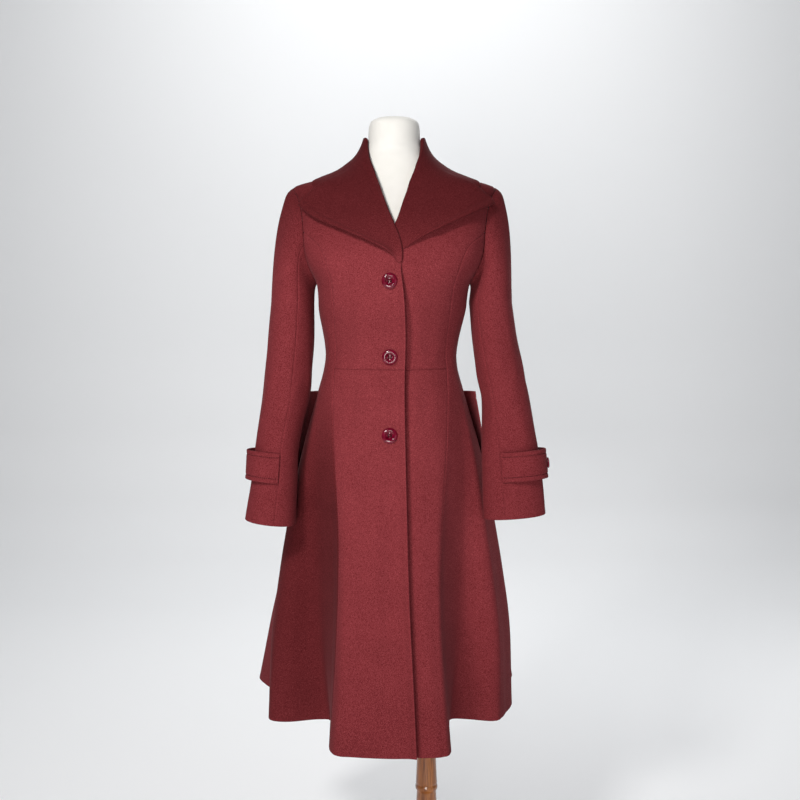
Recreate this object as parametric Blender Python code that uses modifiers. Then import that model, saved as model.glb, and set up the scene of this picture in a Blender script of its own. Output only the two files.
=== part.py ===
"""Fit-and-flare cashmere coat, buttoned right over left, on a limbless dress form with a turned stand.

Metres, +Z up. The coat's front faces -Y and the wearer's right is at -X. The origin is on the floor at
the centre of the stand's foot, and the coat's own axis stands COAT_X to one side of it.

Every coat piece is a wall of cloth on one surface, body(turn, level). turn is the place round the coat in
degrees, counted at the waist from the centre front towards the wearer's left. level is the place between
the rows of BODY_RINGS, from the hem up to the neck.
"""

import math

import bmesh
import bpy
import numpy as np
from mathutils import Matrix, Vector

# Driving dimensions
COAT_X = -0.068
HEM_Z = 0.400
WAIST_Z = 1.0475
UNDERARM_Z = 1.203
SEAM_TOP_Z = 1.292
SHOULDER_Z = 1.377
NECK_SEAM_Z = 1.430
ROLL_TOP_Z = 1.464
CLOTH = 0.0025
COLLAR_CLOTH = 0.0035
STRAP_CLOTH = 0.0030
SEAM_GAP = 0.0003
OVERLAP_LIFT = 0.0036
OVERLAP_FADE = (-44.0, -16.0)
UNDERLAP_X = -0.018
NECK_X = 0.0065
CHEST_X = 0.0107
PRINCESS_TURN = 58.0
SIDE_TURN = 90.0
BACK_SEAM_TURN = 132.0
SEAM_TIP = 1.6
ANGLE_GROWTH = 3.0
FOLD_GROWTH = 1.6
TURN_STEP = 0.3
LEVEL_STEP = 0.03
LEVEL_SAMPLES = 3001
SEAM_STEP = 0.002
FLATTEST_SEAM = 0.3
LIE_GAP = 0.0008
SHARP_ANGLE = math.radians(40)

# Body sections: z, centre x, half width, front depth, back depth, squareness
BODY_RINGS = np.array((
    (0.400, 0.0000, 0.2280, 0.2620, 0.2550, 2.00),
    (0.550, 0.0000, 0.2235, 0.2250, 0.2270, 2.00),
    (0.665, 0.0000, 0.2085, 0.1980, 0.2050, 2.00),
    (0.747, 0.0000, 0.1955, 0.1790, 0.1880, 2.00),
    (0.820, 0.0000, 0.1820, 0.1630, 0.1700, 2.05),
    (0.879, 0.0000, 0.1695, 0.1500, 0.1540, 2.10),
    (0.920, 0.0000, 0.1590, 0.1410, 0.1430, 2.10),
    (0.957, 0.0000, 0.1485, 0.1320, 0.1310, 2.10),
    (0.985, 0.0000, 0.1402, 0.1240, 0.1210, 2.15),
    (1.010, 0.0000, 0.1335, 0.1160, 0.1110, 2.20),
    (1.030, 0.0000, 0.1277, 0.1100, 0.1030, 2.20),
    (1.0475, 0.0000, 0.1237, 0.1060, 0.0960, 2.20),
    (1.070, 0.0005, 0.1215, 0.1050, 0.0930, 2.20),
    (1.095, 0.0010, 0.1240, 0.1090, 0.0940, 2.25),
    (1.121, 0.0015, 0.1290, 0.1170, 0.0980, 2.30),
    (1.152, 0.0025, 0.1355, 0.1280, 0.1040, 2.35),
    (1.180, 0.0035, 0.1375, 0.1320, 0.1080, 2.40),
    (1.203, 0.0045, 0.1415, 0.1310, 0.1105, 2.50),
    (1.228, 0.0055, 0.1550, 0.1280, 0.1120, 2.60),
    (1.256, 0.0060, 0.1675, 0.1210, 0.1120, 2.60),
    (1.290, 0.0065, 0.1745, 0.1100, 0.1090, 2.60),
    (1.325, 0.0070, 0.1805, 0.0960, 0.1020, 2.55),
    (1.355, 0.0070, 0.1845, 0.0810, 0.0920, 2.50),
    (1.377, 0.0070, 0.1850, 0.0690, 0.0810, 2.40),
    (1.391, 0.0070, 0.1420, 0.0640, 0.0730, 2.20),
    (1.404, 0.0070, 0.1070, 0.0610, 0.0680, 2.10),
    (1.417, 0.0065, 0.0860, 0.0585, 0.0640, 2.00),
    (1.430, 0.0065, 0.0705, 0.0560, 0.0620, 2.00),
    (1.446, 0.0065, 0.0600, 0.0530, 0.0610, 2.00),
    (1.464, 0.0065, 0.0530, 0.0520, 0.0620, 2.00),
    (1.480, 0.0065, 0.0500, 0.0520, 0.0620, 2.00),
))

# Skirt folds: turn at the waist, direction at the hem, reach at the hem
FOLDS = np.array((
    (-180.0, -180.0, 0.264),
    (-170.0, -169.5, 0.261),
    (-160.0, -157.0, 0.252),
    (-150.0, -146.5, 0.270),
    (-143.0, -137.0, 0.303),
    (-136.0, -127.0, 0.320),
    (-130.0, -119.5, 0.312),
    (-124.0, -113.0, 0.276),
    (-117.0, -107.5, 0.243),
    (-109.0, -100.5, 0.220),
    (-100.0, -90.0, 0.213),
    (-91.0, -80.5, 0.224),
    (-84.0, -73.0, 0.238),
    (-78.0, -67.5, 0.235),
    (-73.0, -63.0, 0.208),
    (-69.0, -58.5, 0.157),
    (-66.5, -53.0, 0.141),
    (-64.5, -46.0, 0.150),
    (-63.0, -39.5, 0.169),
    (-61.5, -33.0, 0.196),
    (-60.0, -28.8, 0.222),
    (-58.0, -25.8, 0.243),
    (-54.0, -23.0, 0.258),
    (-46.0, -19.5, 0.267),
    (-34.0, -14.5, 0.264),
    (-18.0, -7.8, 0.2615),
    (0.0, 0.0, 0.262),
    (18.0, 7.8, 0.264),
    (34.0, 14.5, 0.268),
    (46.0, 19.5, 0.271),
    (54.0, 22.8, 0.265),
    (58.0, 25.4, 0.248),
    (60.0, 28.3, 0.224),
    (61.5, 33.0, 0.196),
    (63.0, 40.0, 0.167),
    (64.5, 47.0, 0.147),
    (66.5, 54.0, 0.139),
    (69.0, 59.5, 0.157),
    (73.0, 64.5, 0.207),
    (78.0, 70.0, 0.218),
    (84.0, 77.5, 0.221),
    (91.0, 88.0, 0.230),
    (100.0, 98.5, 0.233),
    (109.0, 107.5, 0.230),
    (117.0, 114.5, 0.246),
    (124.0, 120.0, 0.280),
    (130.0, 125.0, 0.303),
    (136.0, 131.0, 0.309),
    (143.0, 139.5, 0.294),
    (150.0, 148.0, 0.265),
    (160.0, 158.0, 0.251),
    (170.0, 170.0, 0.260),
    (180.0, 180.0, 0.264),
))

# Heights of the cutting rows, shared by neighbouring panels
SKIRT_ROWS = (0.400, 0.480, 0.570, 0.660, 0.745, 0.820, 0.885, 0.940, 0.995, WAIST_Z)
BODICE_ROWS = (WAIST_Z, 1.075, 1.105, 1.140, 1.172, UNDERARM_Z)
ARMHOLE_ROWS = (UNDERARM_Z, 1.215, 1.235, 1.262, SEAM_TOP_Z, 1.322, 1.350, 1.368, SHOULDER_Z)
SHOULDER_ROWS = (SHOULDER_Z, 1.389, 1.403, 1.417, NECK_SEAM_Z)
# Places of the columns of the skirt fronts, from the free edge to the princess seam
SKIRT_FRONT_SHARES = (0.0, 0.2, 0.4, 0.58, 0.72, 0.83, 0.92, 1.0)
BODICE_COLUMNS = 8

# Front edge of the right front below the break of the collar: z, x
FRONT_EDGE = np.array((
    (0.400, 0.0450),
    (0.492, 0.0409),
    (0.654, 0.0326),
    (0.822, 0.0275),
    (0.995, 0.0241),
    (1.171, 0.0240),
    (1.223, 0.0190),
))
BREAK_Z = 1.235

# Roll line of the collar: z, distance from the neck's centre line
ROLL_LINE = np.array((
    (1.235, -0.0122),
    (1.258, -0.0122),
    (1.281, -0.0070),
    (1.299, 0.0000),
    (1.320, 0.0095),
    (1.355, 0.0210),
    (1.404, 0.0372),
    (1.439, 0.0480),
    (1.464, 0.0502),
))

# Princess seams above the waist: z, turn
FRONT_PRINCESS = (
    (WAIST_Z, PRINCESS_TURN),
    (1.105, 54.0),
    (1.161, 48.5),
    (1.205, 49.0),
    (1.247, 52.5),
    (1.270, 58.0),
)
BACK_PRINCESS = (
    (WAIST_Z, BACK_SEAM_TURN),
    (1.105, 131.0),
    (1.172, 127.0),
    (1.215, 121.0),
    (1.262, 111.0),
)

# Armhole seen from the side: an oval
ARMHOLE_Y = 0.002
ARMHOLE_GAP = 0.0008
ARMHOLE_FRONT = 0.054
ARMHOLE_BACK = 0.056
ARMHOLE_MID_Z = (UNDERARM_Z + SHOULDER_Z) / 2
ARMHOLE_RISE = (SHOULDER_Z - UNDERARM_Z) / 2

# Front of each collar half: roll z, edge distance from the chest's centre, edge z
COLLAR_RIGHT = (
    (1.238, -0.0028, 1.2345),
    (1.254, 0.0094, 1.2500),
    (1.276, 0.0230, 1.2590),
    (1.302, 0.0461, 1.2704),
    (1.340, 0.0953, 1.2927),
    (1.378, 0.1420, 1.3145),
    (1.408, 0.1690, 1.3375),
    (1.432, 0.1615, 1.3530),
    (1.450, 0.1470, 1.3680),
)
COLLAR_LEFT = (
    (1.3035, 0.0119, 1.2605),
    (1.320, 0.0447, 1.2801),
    (1.345, 0.0818, 1.2979),
    (1.370, 0.1198, 1.3162),
    (1.395, 0.1480, 1.3300),
    (1.415, 0.1680, 1.3420),
    (1.434, 0.1610, 1.3545),
    (1.450, 0.1470, 1.3680),
)
# Rest of each collar half, round the neck: roll turn, roll z, edge turn, edge z
COLLAR_BACK = (
    (72.0, 1.4630, 86.0, 1.3945),
    (97.0, 1.4640, 104.0, 1.3880),
    (125.0, 1.4650, 128.0, 1.3790),
    (152.0, 1.4660, 154.0, 1.3730),
    (180.0, 1.4660, 180.0, 1.3710),
)
COLLAR_WIDTHS = (0.0, 0.10, 0.35, 0.65, 0.88, 1.0)
COLLAR_REST = 0.0010
COLLAR_EDGE_LIFT = 0.0040
COLLAR_BACK_LIFT = 0.0008
COLLAR_BEND_LIFT = 0.0016
COLLAR_BEND = (1.380, 0.014)
# The corner of each collar half is this many rows before the end of its front, and the lift fades behind it
COLLAR_CORNER = 3
COLLAR_FADE_ROWS = 2.0
STAND_COLUMNS = 22

# Sleeve sections below the arm: z, centre x from the coat's axis, centre y, half width, half depth, tilt
SLEEVE_RIGHT = np.array((
    (1.165, 0.1820, -0.002, 0.0395, 0.064, 0.00),
    (1.096, 0.1850, -0.013, 0.0430, 0.059, 0.00),
    (1.040, 0.1892, -0.028, 0.0430, 0.055, 0.01),
    (0.989, 0.1935, -0.045, 0.0420, 0.051, 0.02),
    (0.912, 0.2055, -0.070, 0.0390, 0.047, 0.05),
    (0.843, 0.2095, -0.090, 0.0410, 0.045, 0.08),
    (0.776, 0.2155, -0.106, 0.0450, 0.044, 0.12),
))
SLEEVE_LEFT = np.array((
    (1.165, 0.1850, -0.002, 0.0395, 0.064, 0.00),
    (1.096, 0.1925, -0.013, 0.0415, 0.059, 0.00),
    (1.040, 0.2015, -0.027, 0.0428, 0.054, 0.01),
    (0.989, 0.2110, -0.042, 0.0442, 0.049, 0.02),
    (0.912, 0.2165, -0.064, 0.0510, 0.042, 0.04),
    (0.843, 0.2205, -0.082, 0.0546, 0.038, 0.06),
    (0.784, 0.2230, -0.096, 0.0563, 0.036, 0.08),
))
SLEEVE_SQUARE = 2.2
# Seams of the sleeves, as turns
FRONT_SEAM_RIGHT = 104.0
FRONT_SEAM_LEFT = 120.0
SLEEVE_BACK_SEAM = 248.0
TOP_SLEEVE_COLUMNS = 13
UNDER_SLEEVE_COLUMNS = 9
SLEEVE_SAMPLES = 601
CAP_ROWS = (0.0, 0.10, 0.25, 0.45, 0.70)
ARM_ROWS = (0.0, 0.7, 1.5, 2.4, 3.2, 3.8, 4.4, 5.1, 6.0)
CAP_START = (0.46, 0.46)
CAP_END = (0.05, 0.95)

# Cuff straps
STRAP_LOW_Z = 0.848
STRAP_HIGH_Z = 0.900
STRAP_END_TURN = -72.0
STRAP_STAND = 0.0100
STRAP_LEAN = 0.9
STRAP_BULGE = 1.4
STRAP_FLARE = (0.8, 0.3)
STRAP_SEAM = 1.0
STRAP_PARTS = (0.0, 0.5, 1.0)
STRAP_COLUMNS = 13
STRAP_BUTTON_RIGHT = -32.0
STRAP_BUTTON_LEFT = 6.0
STRAP_BUTTON_PARTS = (0.3, 0.5, 0.7)

# Hip pockets
POCKET_TURNS = (91.0, 128.0)
POCKET_LOW_Z = 0.842
POCKET_HIGH_Z = 0.996
POCKET_GAPE = 0.019
POCKET_CURVE = 1.1
POCKET_COLUMNS = 8
POCKET_LEVELS = 7

# Buttons: name, height of the centre
FRONT_BUTTONS = (("button_top", 1.2042), ("button_middle", 1.0709), ("button_low", 0.9331))
BUTTON_X = -0.001
BUTTON_RADIUS = 0.0140
STRAP_BUTTON_RADIUS = 0.0100
# Button profile as shares of the radius: distance from the axis, height
BUTTON_PROFILE = (
    (0.0, 0.17),
    (0.52, 0.18),
    (0.70, 0.32),
    (0.84, 0.33),
    (1.0, 0.20),
    (0.98, 0.07),
    (0.80, 0.0),
    (0.0, 0.0),
)
# Places under a button that it may rest on, as shares of its radius up from the centre
BUTTON_RESTS = (-1.0, -0.5, 0.5, 1.0)
BUTTON_SIDES = 16

# Dress form
FORM_ROOM = 0.0068
FORM_RIDGE_ROOM = 0.0008
FORM_SQUARE = 2.1
FORM_TOP_Z = 1.502
# Hips and neck of the form: z, centre x, half width, front depth, back depth
FORM_HIPS = (
    (0.800, 0.0000, 0.1120, 0.0900, 0.0950),
    (0.808, 0.0000, 0.1280, 0.1050, 0.1100),
    (0.835, 0.0000, 0.1400, 0.1170, 0.1220),
    (0.880, 0.0000, 0.1470, 0.1240, 0.1290),
    (0.925, 0.0000, 0.1430, 0.1230, 0.1250),
    (0.965, 0.0000, 0.1350, 0.1170, 0.1150),
)
FORM_NECK = (
    (1.444, 0.0065, 0.0525, 0.0510, 0.0560),
    (1.458, 0.0065, 0.0480, 0.0490, 0.0545),
    (1.480, 0.0065, 0.0470, 0.0480, 0.0530),
    (1.495, 0.0065, 0.0435, 0.0445, 0.0490),
    (FORM_TOP_Z, 0.0065, 0.0320, 0.0330, 0.0360),
)
FORM_ROWS = (1.000, 1.035, 1.070, 1.105, 1.140, 1.172, 1.203, 1.235, 1.262, 1.292, 1.322, 1.350, 1.368,
             SHOULDER_Z, 1.389, 1.403, 1.417, NECK_SEAM_Z)
FORM_SIDES = 36

# Stand: distance from the axis, height
POST_PROFILE = (
    (0.0, 0.7995),
    (0.0175, 0.7995),
    (0.0175, 0.310),
    (0.0205, 0.246),
    (0.0213, 0.236),
    (0.0190, 0.228),
    (0.0205, 0.180),
    (0.0225, 0.080),
    (0.0340, 0.046),
    (0.0420, 0.0303),
    (0.0, 0.0303),
)
BASE_PROFILE = (
    (0.0, 0.030),
    (0.150, 0.030),
    (0.176, 0.024),
    (0.185, 0.014),
    (0.185, 0.004),
    (0.181, 0.0),
    (0.0, 0.0),
)
POST_SIDES = 16
BASE_SIDES = 32
MERGE_DISTANCE = 0.00001

# Colours: base colour, roughness
MATERIALS = {
    "cashmere": ((0.215, 0.036, 0.043), 0.85),
    "button_horn": ((0.070, 0.008, 0.018), 0.18),
    "form_jersey": ((0.880, 0.860, 0.800), 0.75),
    "varnished_wood": ((0.300, 0.105, 0.030), 0.32),
}


def through(knots, rows, at):
    """Smooth curve through table rows at rising knots, as cubic pieces."""
    knots = np.asarray(knots, float)
    at = np.clip(np.asarray(at, float), knots[0], knots[-1])
    slopes = np.gradient(rows, knots, axis=0)
    low = np.clip(np.searchsorted(knots, at, side="right") - 1, 0, len(knots) - 2)
    span = (knots[low + 1] - knots[low])[..., None]
    t = (at - knots[low])[..., None] / span
    start = rows[low] * (1 + 2 * t) + slopes[low] * span * t
    stop = rows[low + 1] * (3 - 2 * t) - slopes[low + 1] * span * (1 - t)
    return start * (1 - t) ** 2 + stop * t ** 2


RING_STEPS = np.arange(len(BODY_RINGS))
LEVELS = np.linspace(0, len(BODY_RINGS) - 1, LEVEL_SAMPLES)
LEVEL_Z = through(RING_STEPS, BODY_RINGS, LEVELS)[:, 0]


def level_at(z):
    """Place between the rows of BODY_RINGS that lies at a height."""
    return np.interp(z, LEVEL_Z, LEVELS)


def oval_reach(degrees, half, front, back, square):
    """Distance from the axis to a squared oval, in a direction from the front."""
    across = np.abs(np.sin(np.radians(degrees)))
    along = np.cos(np.radians(degrees))
    depth = np.where(along >= 0, front, back)
    return ((across / half) ** square + (np.abs(along) / depth) ** square) ** (-1 / square)


def body(turn, level):
    """Point of the coat's outer surface."""
    turn, level = np.broadcast_arrays(np.asarray(turn, float), np.asarray(level, float))
    z, centre_x, half, front, back, square = np.moveaxis(through(RING_STEPS, BODY_RINGS, level), -1, 0)
    around = (turn + 180.0) % 360.0 - 180.0
    hem_turn, hem_reach = np.moveaxis(through(FOLDS[:, 0], FOLDS[:, 1:], around), -1, 0)
    drop = np.clip((WAIST_Z - z) / (WAIST_Z - HEM_Z), 0, 1)
    direction = around + (hem_turn - around) * (1 - (1 - drop) ** ANGLE_GROWTH)
    reach = oval_reach(direction, half, front, back, square)
    reach = reach + (hem_reach - oval_reach(hem_turn, *BODY_RINGS[0, 2:])) * drop ** FOLD_GROWTH
    x = centre_x + reach * np.sin(np.radians(direction))
    y = -reach * np.cos(np.radians(direction))
    return np.stack((x, y, z), axis=-1)


def unit(vectors):
    """Vectors scaled to length 1."""
    return vectors / np.linalg.norm(vectors, axis=-1, keepdims=True)


def body_normal(turn, level):
    """Outward direction of the coat's surface."""
    turn, level = np.broadcast_arrays(np.asarray(turn, float), np.asarray(level, float))
    around = body(turn + TURN_STEP, level) - body(turn - TURN_STEP, level)
    up = body(turn, level + LEVEL_STEP) - body(turn, level - LEVEL_STEP)
    return unit(np.cross(around, up))


def skin(turn, level, lift):
    """Point of the coat's surface moved out by lift."""
    return body(turn, level) + body_normal(turn, level) * np.asarray(lift)[..., None]


def solve(function, low, high):
    """Where a rising function crosses zero."""
    for _ in range(40):
        middle = (low + high) / 2
        if function(middle) < 0:
            low = middle
        else:
            high = middle
    return (low + high) / 2


def turn_at_x(x, z):
    """Turn of the front point that lies at x on the section at z."""
    level = level_at(z)
    return solve(lambda turn: body(turn, level)[0] - x, -90.0, 90.0)


def armhole_turn(z, front):
    """Turn of the armhole's front or back edge, on the wearer's left."""
    rise = min(max((z - ARMHOLE_MID_Z) / ARMHOLE_RISE, -1.0), 1.0)
    reach = -ARMHOLE_FRONT if front else ARMHOLE_BACK
    y = ARMHOLE_Y + reach * math.sqrt(1 - rise * rise)
    level = level_at(z)
    return solve(lambda turn: body(turn, level)[1] - y, 30.0, 150.0)


def table_value(table, z):
    """Second column of a two-column table at a height."""
    return float(through(table[:, 0], table[:, 1:], z)[0])


def princess_table(rows, front):
    """Seam turns by height, ended just short of the armhole."""
    tip = armhole_turn(SEAM_TOP_Z, front) + (-SEAM_TIP if front else SEAM_TIP)
    return np.array((*rows, (SEAM_TOP_Z, tip)))


def front_princess(z):
    """Turn of the front princess seam, on the wearer's left."""
    return table_value(princess_table(FRONT_PRINCESS, True), z)


def back_princess(z):
    """Turn of the back princess seam, on the wearer's left."""
    return table_value(princess_table(BACK_PRINCESS, False), z)


def front_limit(z):
    """Outer limit of the centre front: princess seam, then armhole, then shoulder seam."""
    if z <= SEAM_TOP_Z:
        return front_princess(z)
    return armhole_turn(z, True) if z < SHOULDER_Z else SIDE_TURN


def back_limit(z):
    """Outer limit of the centre back."""
    if z <= SEAM_TOP_Z:
        return back_princess(z)
    return armhole_turn(z, False) if z < SHOULDER_Z else SIDE_TURN


def side_limit(z, front):
    """Side seam of a side panel, then its armhole edge."""
    return SIDE_TURN if z <= UNDERARM_Z else armhole_turn(z, front)


def right_edge(z):
    """Turn of the right front's free edge, which runs into the roll line."""
    if z < BREAK_Z:
        return turn_at_x(table_value(FRONT_EDGE, z), z)
    return turn_at_x(NECK_X - table_value(ROLL_LINE, z), z)


def left_edge(z):
    """Turn of the left front's edge, which lies under the right front."""
    if z < BREAK_Z:
        return turn_at_x(UNDERLAP_X, z)
    return turn_at_x(NECK_X + table_value(ROLL_LINE, z), z)


def overlap_lift(turn):
    """Height of the right front over the left one near the centre."""
    share = np.clip((np.asarray(turn, float) - OVERLAP_FADE[0]) / (OVERLAP_FADE[1] - OVERLAP_FADE[0]), 0, 1)
    return OVERLAP_LIFT * share * share * (3 - 2 * share)


def material(slot):
    """Principled material of a slot."""
    found = bpy.data.materials.get(slot)
    if found:
        return found
    made = bpy.data.materials.new(slot)
    made.use_nodes = True
    shader = made.node_tree.nodes["Principled BSDF"]
    colour, roughness = MATERIALS[slot]
    shader.inputs["Base Color"].default_value = (*colour, 1.0)
    shader.inputs["Roughness"].default_value = roughness
    return made


def add_object(name, mesh, slot, parent):
    """Object of a mesh, in the coat's collection."""
    made = bpy.data.objects.new(name, mesh)
    made.data.materials.append(material(slot))
    made.parent = parent
    coat_parts.objects.link(made)
    return made


def sheet_faces(rows, columns, flip):
    """Triangles of a grid, all cut along the same diagonal."""
    faces = []
    for row in range(rows - 1):
        for column in range(columns - 1):
            corner = row * columns + column
            faces.append((corner, corner + 1, corner + columns + 1))
            faces.append((corner, corner + columns + 1, corner + columns))
    return [face[::-1] for face in faces] if flip else faces


def rim_indices(rows, columns):
    """Grid points round the border, in order."""
    bottom = list(range(columns))
    right = [row * columns + columns - 1 for row in range(1, rows)]
    top = [(rows - 1) * columns + column for column in range(columns - 2, -1, -1)]
    left = [row * columns for row in range(rows - 2, 0, -1)]
    return bottom + right + top + left


def wall(name, outer, inner, parent):
    """Closed wall of cloth between two grids of points.

    The two sides of a seam are cut along the same diagonals.
    """
    rows, columns = outer.shape[:2]
    count = rows * columns
    faces = sheet_faces(rows, columns, False)
    faces += [tuple(count + index for index in face) for face in sheet_faces(rows, columns, True)]
    rim = rim_indices(rows, columns)
    for here, there in zip(rim, rim[1:] + rim[:1]):
        low = min(here, there)
        high = max(here, there)
        pair = [(low, low + count, high + count), (low, high + count, high)]
        faces += pair if here < there else [face[::-1] for face in pair]
    mesh = bpy.data.meshes.new(name)
    mesh.from_pydata(np.concatenate((outer.reshape(-1, 3), inner.reshape(-1, 3))).tolist(), [], faces)
    shell = bmesh.new()
    shell.from_mesh(mesh)
    if shell.calc_volume(signed=True) < 0:
        bmesh.ops.reverse_faces(shell, faces=shell.faces)
    shell.to_mesh(mesh)
    shell.free()
    mesh.shade_smooth()
    mesh.set_sharp_from_angle(angle=SHARP_ANGLE)
    return add_object(name, mesh, "cashmere", parent)


def turn_for_length(turn, level, length):
    """Change of turn that moves a point of the surface by a length."""
    step = body(turn + TURN_STEP, level) - body(turn - TURN_STEP, level)
    return length * 2 * TURN_STEP / np.linalg.norm(step)


def seam_room(seam, z):
    """Change of turn that leaves half the seam gap square to a seam, however the seam slants."""
    turn = seam(z)
    level = level_at(z)
    around = unit(body(turn + TURN_STEP, level) - body(turn - TURN_STEP, level))
    ends = [body(seam(height), level_at(height)) for height in (z - SEAM_STEP, z + SEAM_STEP)]
    square = np.linalg.norm(np.cross(around, unit(ends[1] - ends[0])))
    return turn_for_length(turn, level, SEAM_GAP / 2 / max(square, FLATTEST_SEAM))


def panel(name, heights, start, stop, shares, parent, lifted=False):
    """Panel of the coat between two seams, a row for each height."""
    low = heights[0] + (SEAM_GAP / 2 if heights[0] > HEM_Z else 0.0)
    high = heights[-1] - SEAM_GAP / 2
    outer = []
    inner = []
    for z in (low, *heights[1:-1], high):
        level = level_at(z)
        first = start(z) + seam_room(start, z)
        last = stop(z) - seam_room(stop, z)
        turns = first + (last - first) * np.asarray(shares)
        lift = overlap_lift(turns) if lifted else np.zeros_like(turns)
        outer.append(skin(turns, level, lift))
        inner.append(skin(turns, level, lift - CLOTH))
    return wall(name, np.array(outer), np.array(inner), parent)


def fold_shares(start, stop):
    """Places of a panel's columns: its seams and the folds between them."""
    inside = [turn for turn in FOLDS[:, 0] if start < turn < stop]
    return [(turn - start) / (stop - start) for turn in (start, *inside, stop)]


def mirrored(shares):
    """Column places of the panel on the other side."""
    return [1 - share for share in reversed(shares)]


def make_body(parent):
    """Fronts, side panels and backs."""
    whole_rows = SKIRT_ROWS + BODICE_ROWS[1:] + ARMHOLE_ROWS[1:]
    side_rows = tuple(z for z in whole_rows if z <= SEAM_TOP_Z)
    upper_rows = BODICE_ROWS + ARMHOLE_ROWS[1:] + SHOULDER_ROWS[1:]
    upper_shares = np.linspace(0, 1, BODICE_COLUMNS)

    panel("skirt_front_right", SKIRT_ROWS, lambda z: -PRINCESS_TURN, right_edge,
          mirrored(SKIRT_FRONT_SHARES), parent, lifted=True)
    panel("skirt_front_left", SKIRT_ROWS, left_edge, lambda z: PRINCESS_TURN, SKIRT_FRONT_SHARES, parent)
    panel("bodice_front_right", upper_rows, lambda z: -front_limit(z), right_edge,
          upper_shares, parent, lifted=True)
    panel("bodice_front_left", upper_rows, left_edge, front_limit, upper_shares, parent)

    panel("side_front_right", side_rows, lambda z: -side_limit(z, True), lambda z: -front_princess(z),
          fold_shares(-SIDE_TURN, -PRINCESS_TURN), parent)
    panel("side_front_left", side_rows, front_princess, lambda z: side_limit(z, True),
          fold_shares(PRINCESS_TURN, SIDE_TURN), parent)
    panel("side_back_right", side_rows, lambda z: -back_princess(z), lambda z: -side_limit(z, False),
          fold_shares(-BACK_SEAM_TURN, -SIDE_TURN), parent)
    panel("side_back_left", side_rows, lambda z: side_limit(z, False), back_princess,
          fold_shares(SIDE_TURN, BACK_SEAM_TURN), parent)
    back_rows = whole_rows + SHOULDER_ROWS[1:]
    panel("back_right", back_rows, lambda z: -180.0, lambda z: -back_limit(z),
          fold_shares(-180.0, -BACK_SEAM_TURN), parent)
    panel("back_left", back_rows, back_limit, lambda z: 180.0, fold_shares(BACK_SEAM_TURN, 180.0), parent)


def collar_tracks(front_rows, side):
    """Roll line and outer edge of a collar half, as turns and levels."""
    roll = []
    edge = []
    for roll_z, edge_x, edge_z in front_rows:
        roll.append((turn_at_x(NECK_X + side * table_value(ROLL_LINE, roll_z), roll_z), level_at(roll_z)))
        edge.append((turn_at_x(CHEST_X + side * edge_x, edge_z), level_at(edge_z)))
    for roll_turn, roll_z, edge_turn, edge_z in COLLAR_BACK:
        roll.append((side * roll_turn, level_at(roll_z)))
        edge.append((side * edge_turn, level_at(edge_z)))
    return np.array(roll), np.array(edge)


def make_collar(name, front_rows, side, parent):
    """Half of the turned-over collar, lying on the front, shoulder and back."""
    roll, edge = collar_tracks(front_rows, side)
    stations = np.arange(len(roll))
    columns = np.linspace(0, stations[-1], 2 * stations[-1] + 1)
    roll_line = through(stations, roll, columns)
    edge_line = np.stack([np.interp(columns, stations, edge[:, axis]) for axis in range(2)], axis=-1)
    corner = len(front_rows) - COLLAR_CORNER
    seam = side * SEAM_GAP / 2
    for line in (roll_line, edge_line):
        line[-1, 0] -= turn_for_length(line[-1, 0], line[-1, 1], seam)
    outer = []
    inner = []
    for width in COLLAR_WIDTHS:
        turns, levels = np.moveaxis(roll_line + (edge_line - roll_line) * width, -1, 0)
        fade = np.clip((columns - corner) / COLLAR_FADE_ROWS, 0, 1)
        edge_lift = COLLAR_EDGE_LIFT + (COLLAR_BACK_LIFT - COLLAR_EDGE_LIFT) * fade
        heights = body(turns, levels)[:, 2]
        bend = np.exp(-((heights - COLLAR_BEND[0]) / COLLAR_BEND[1]) ** 2)
        rest = COLLAR_REST + edge_lift * width ** 2 + COLLAR_BEND_LIFT * bend
        if side < 0:
            rest = rest + overlap_lift(turns)
        outer.append(skin(turns, levels, rest + COLLAR_CLOTH))
        inner.append(skin(turns, levels, rest))
    return wall(name, np.array(outer), np.array(inner), parent)


def make_stand(parent):
    """Band that carries the collar, from one roll line round the back to the other."""
    outer = []
    inner = []
    for z in (NECK_SEAM_Z + LIE_GAP, (NECK_SEAM_Z + ROLL_TOP_Z) / 2, ROLL_TOP_Z):
        turns = np.linspace(left_edge(z), 360.0 + right_edge(z), STAND_COLUMNS)
        level = level_at(z)
        outer.append(skin(turns, level, np.zeros_like(turns)))
        inner.append(skin(turns, level, np.full_like(turns, -CLOTH)))
    wall("collar_stand", np.array(outer), np.array(inner), parent)


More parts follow.
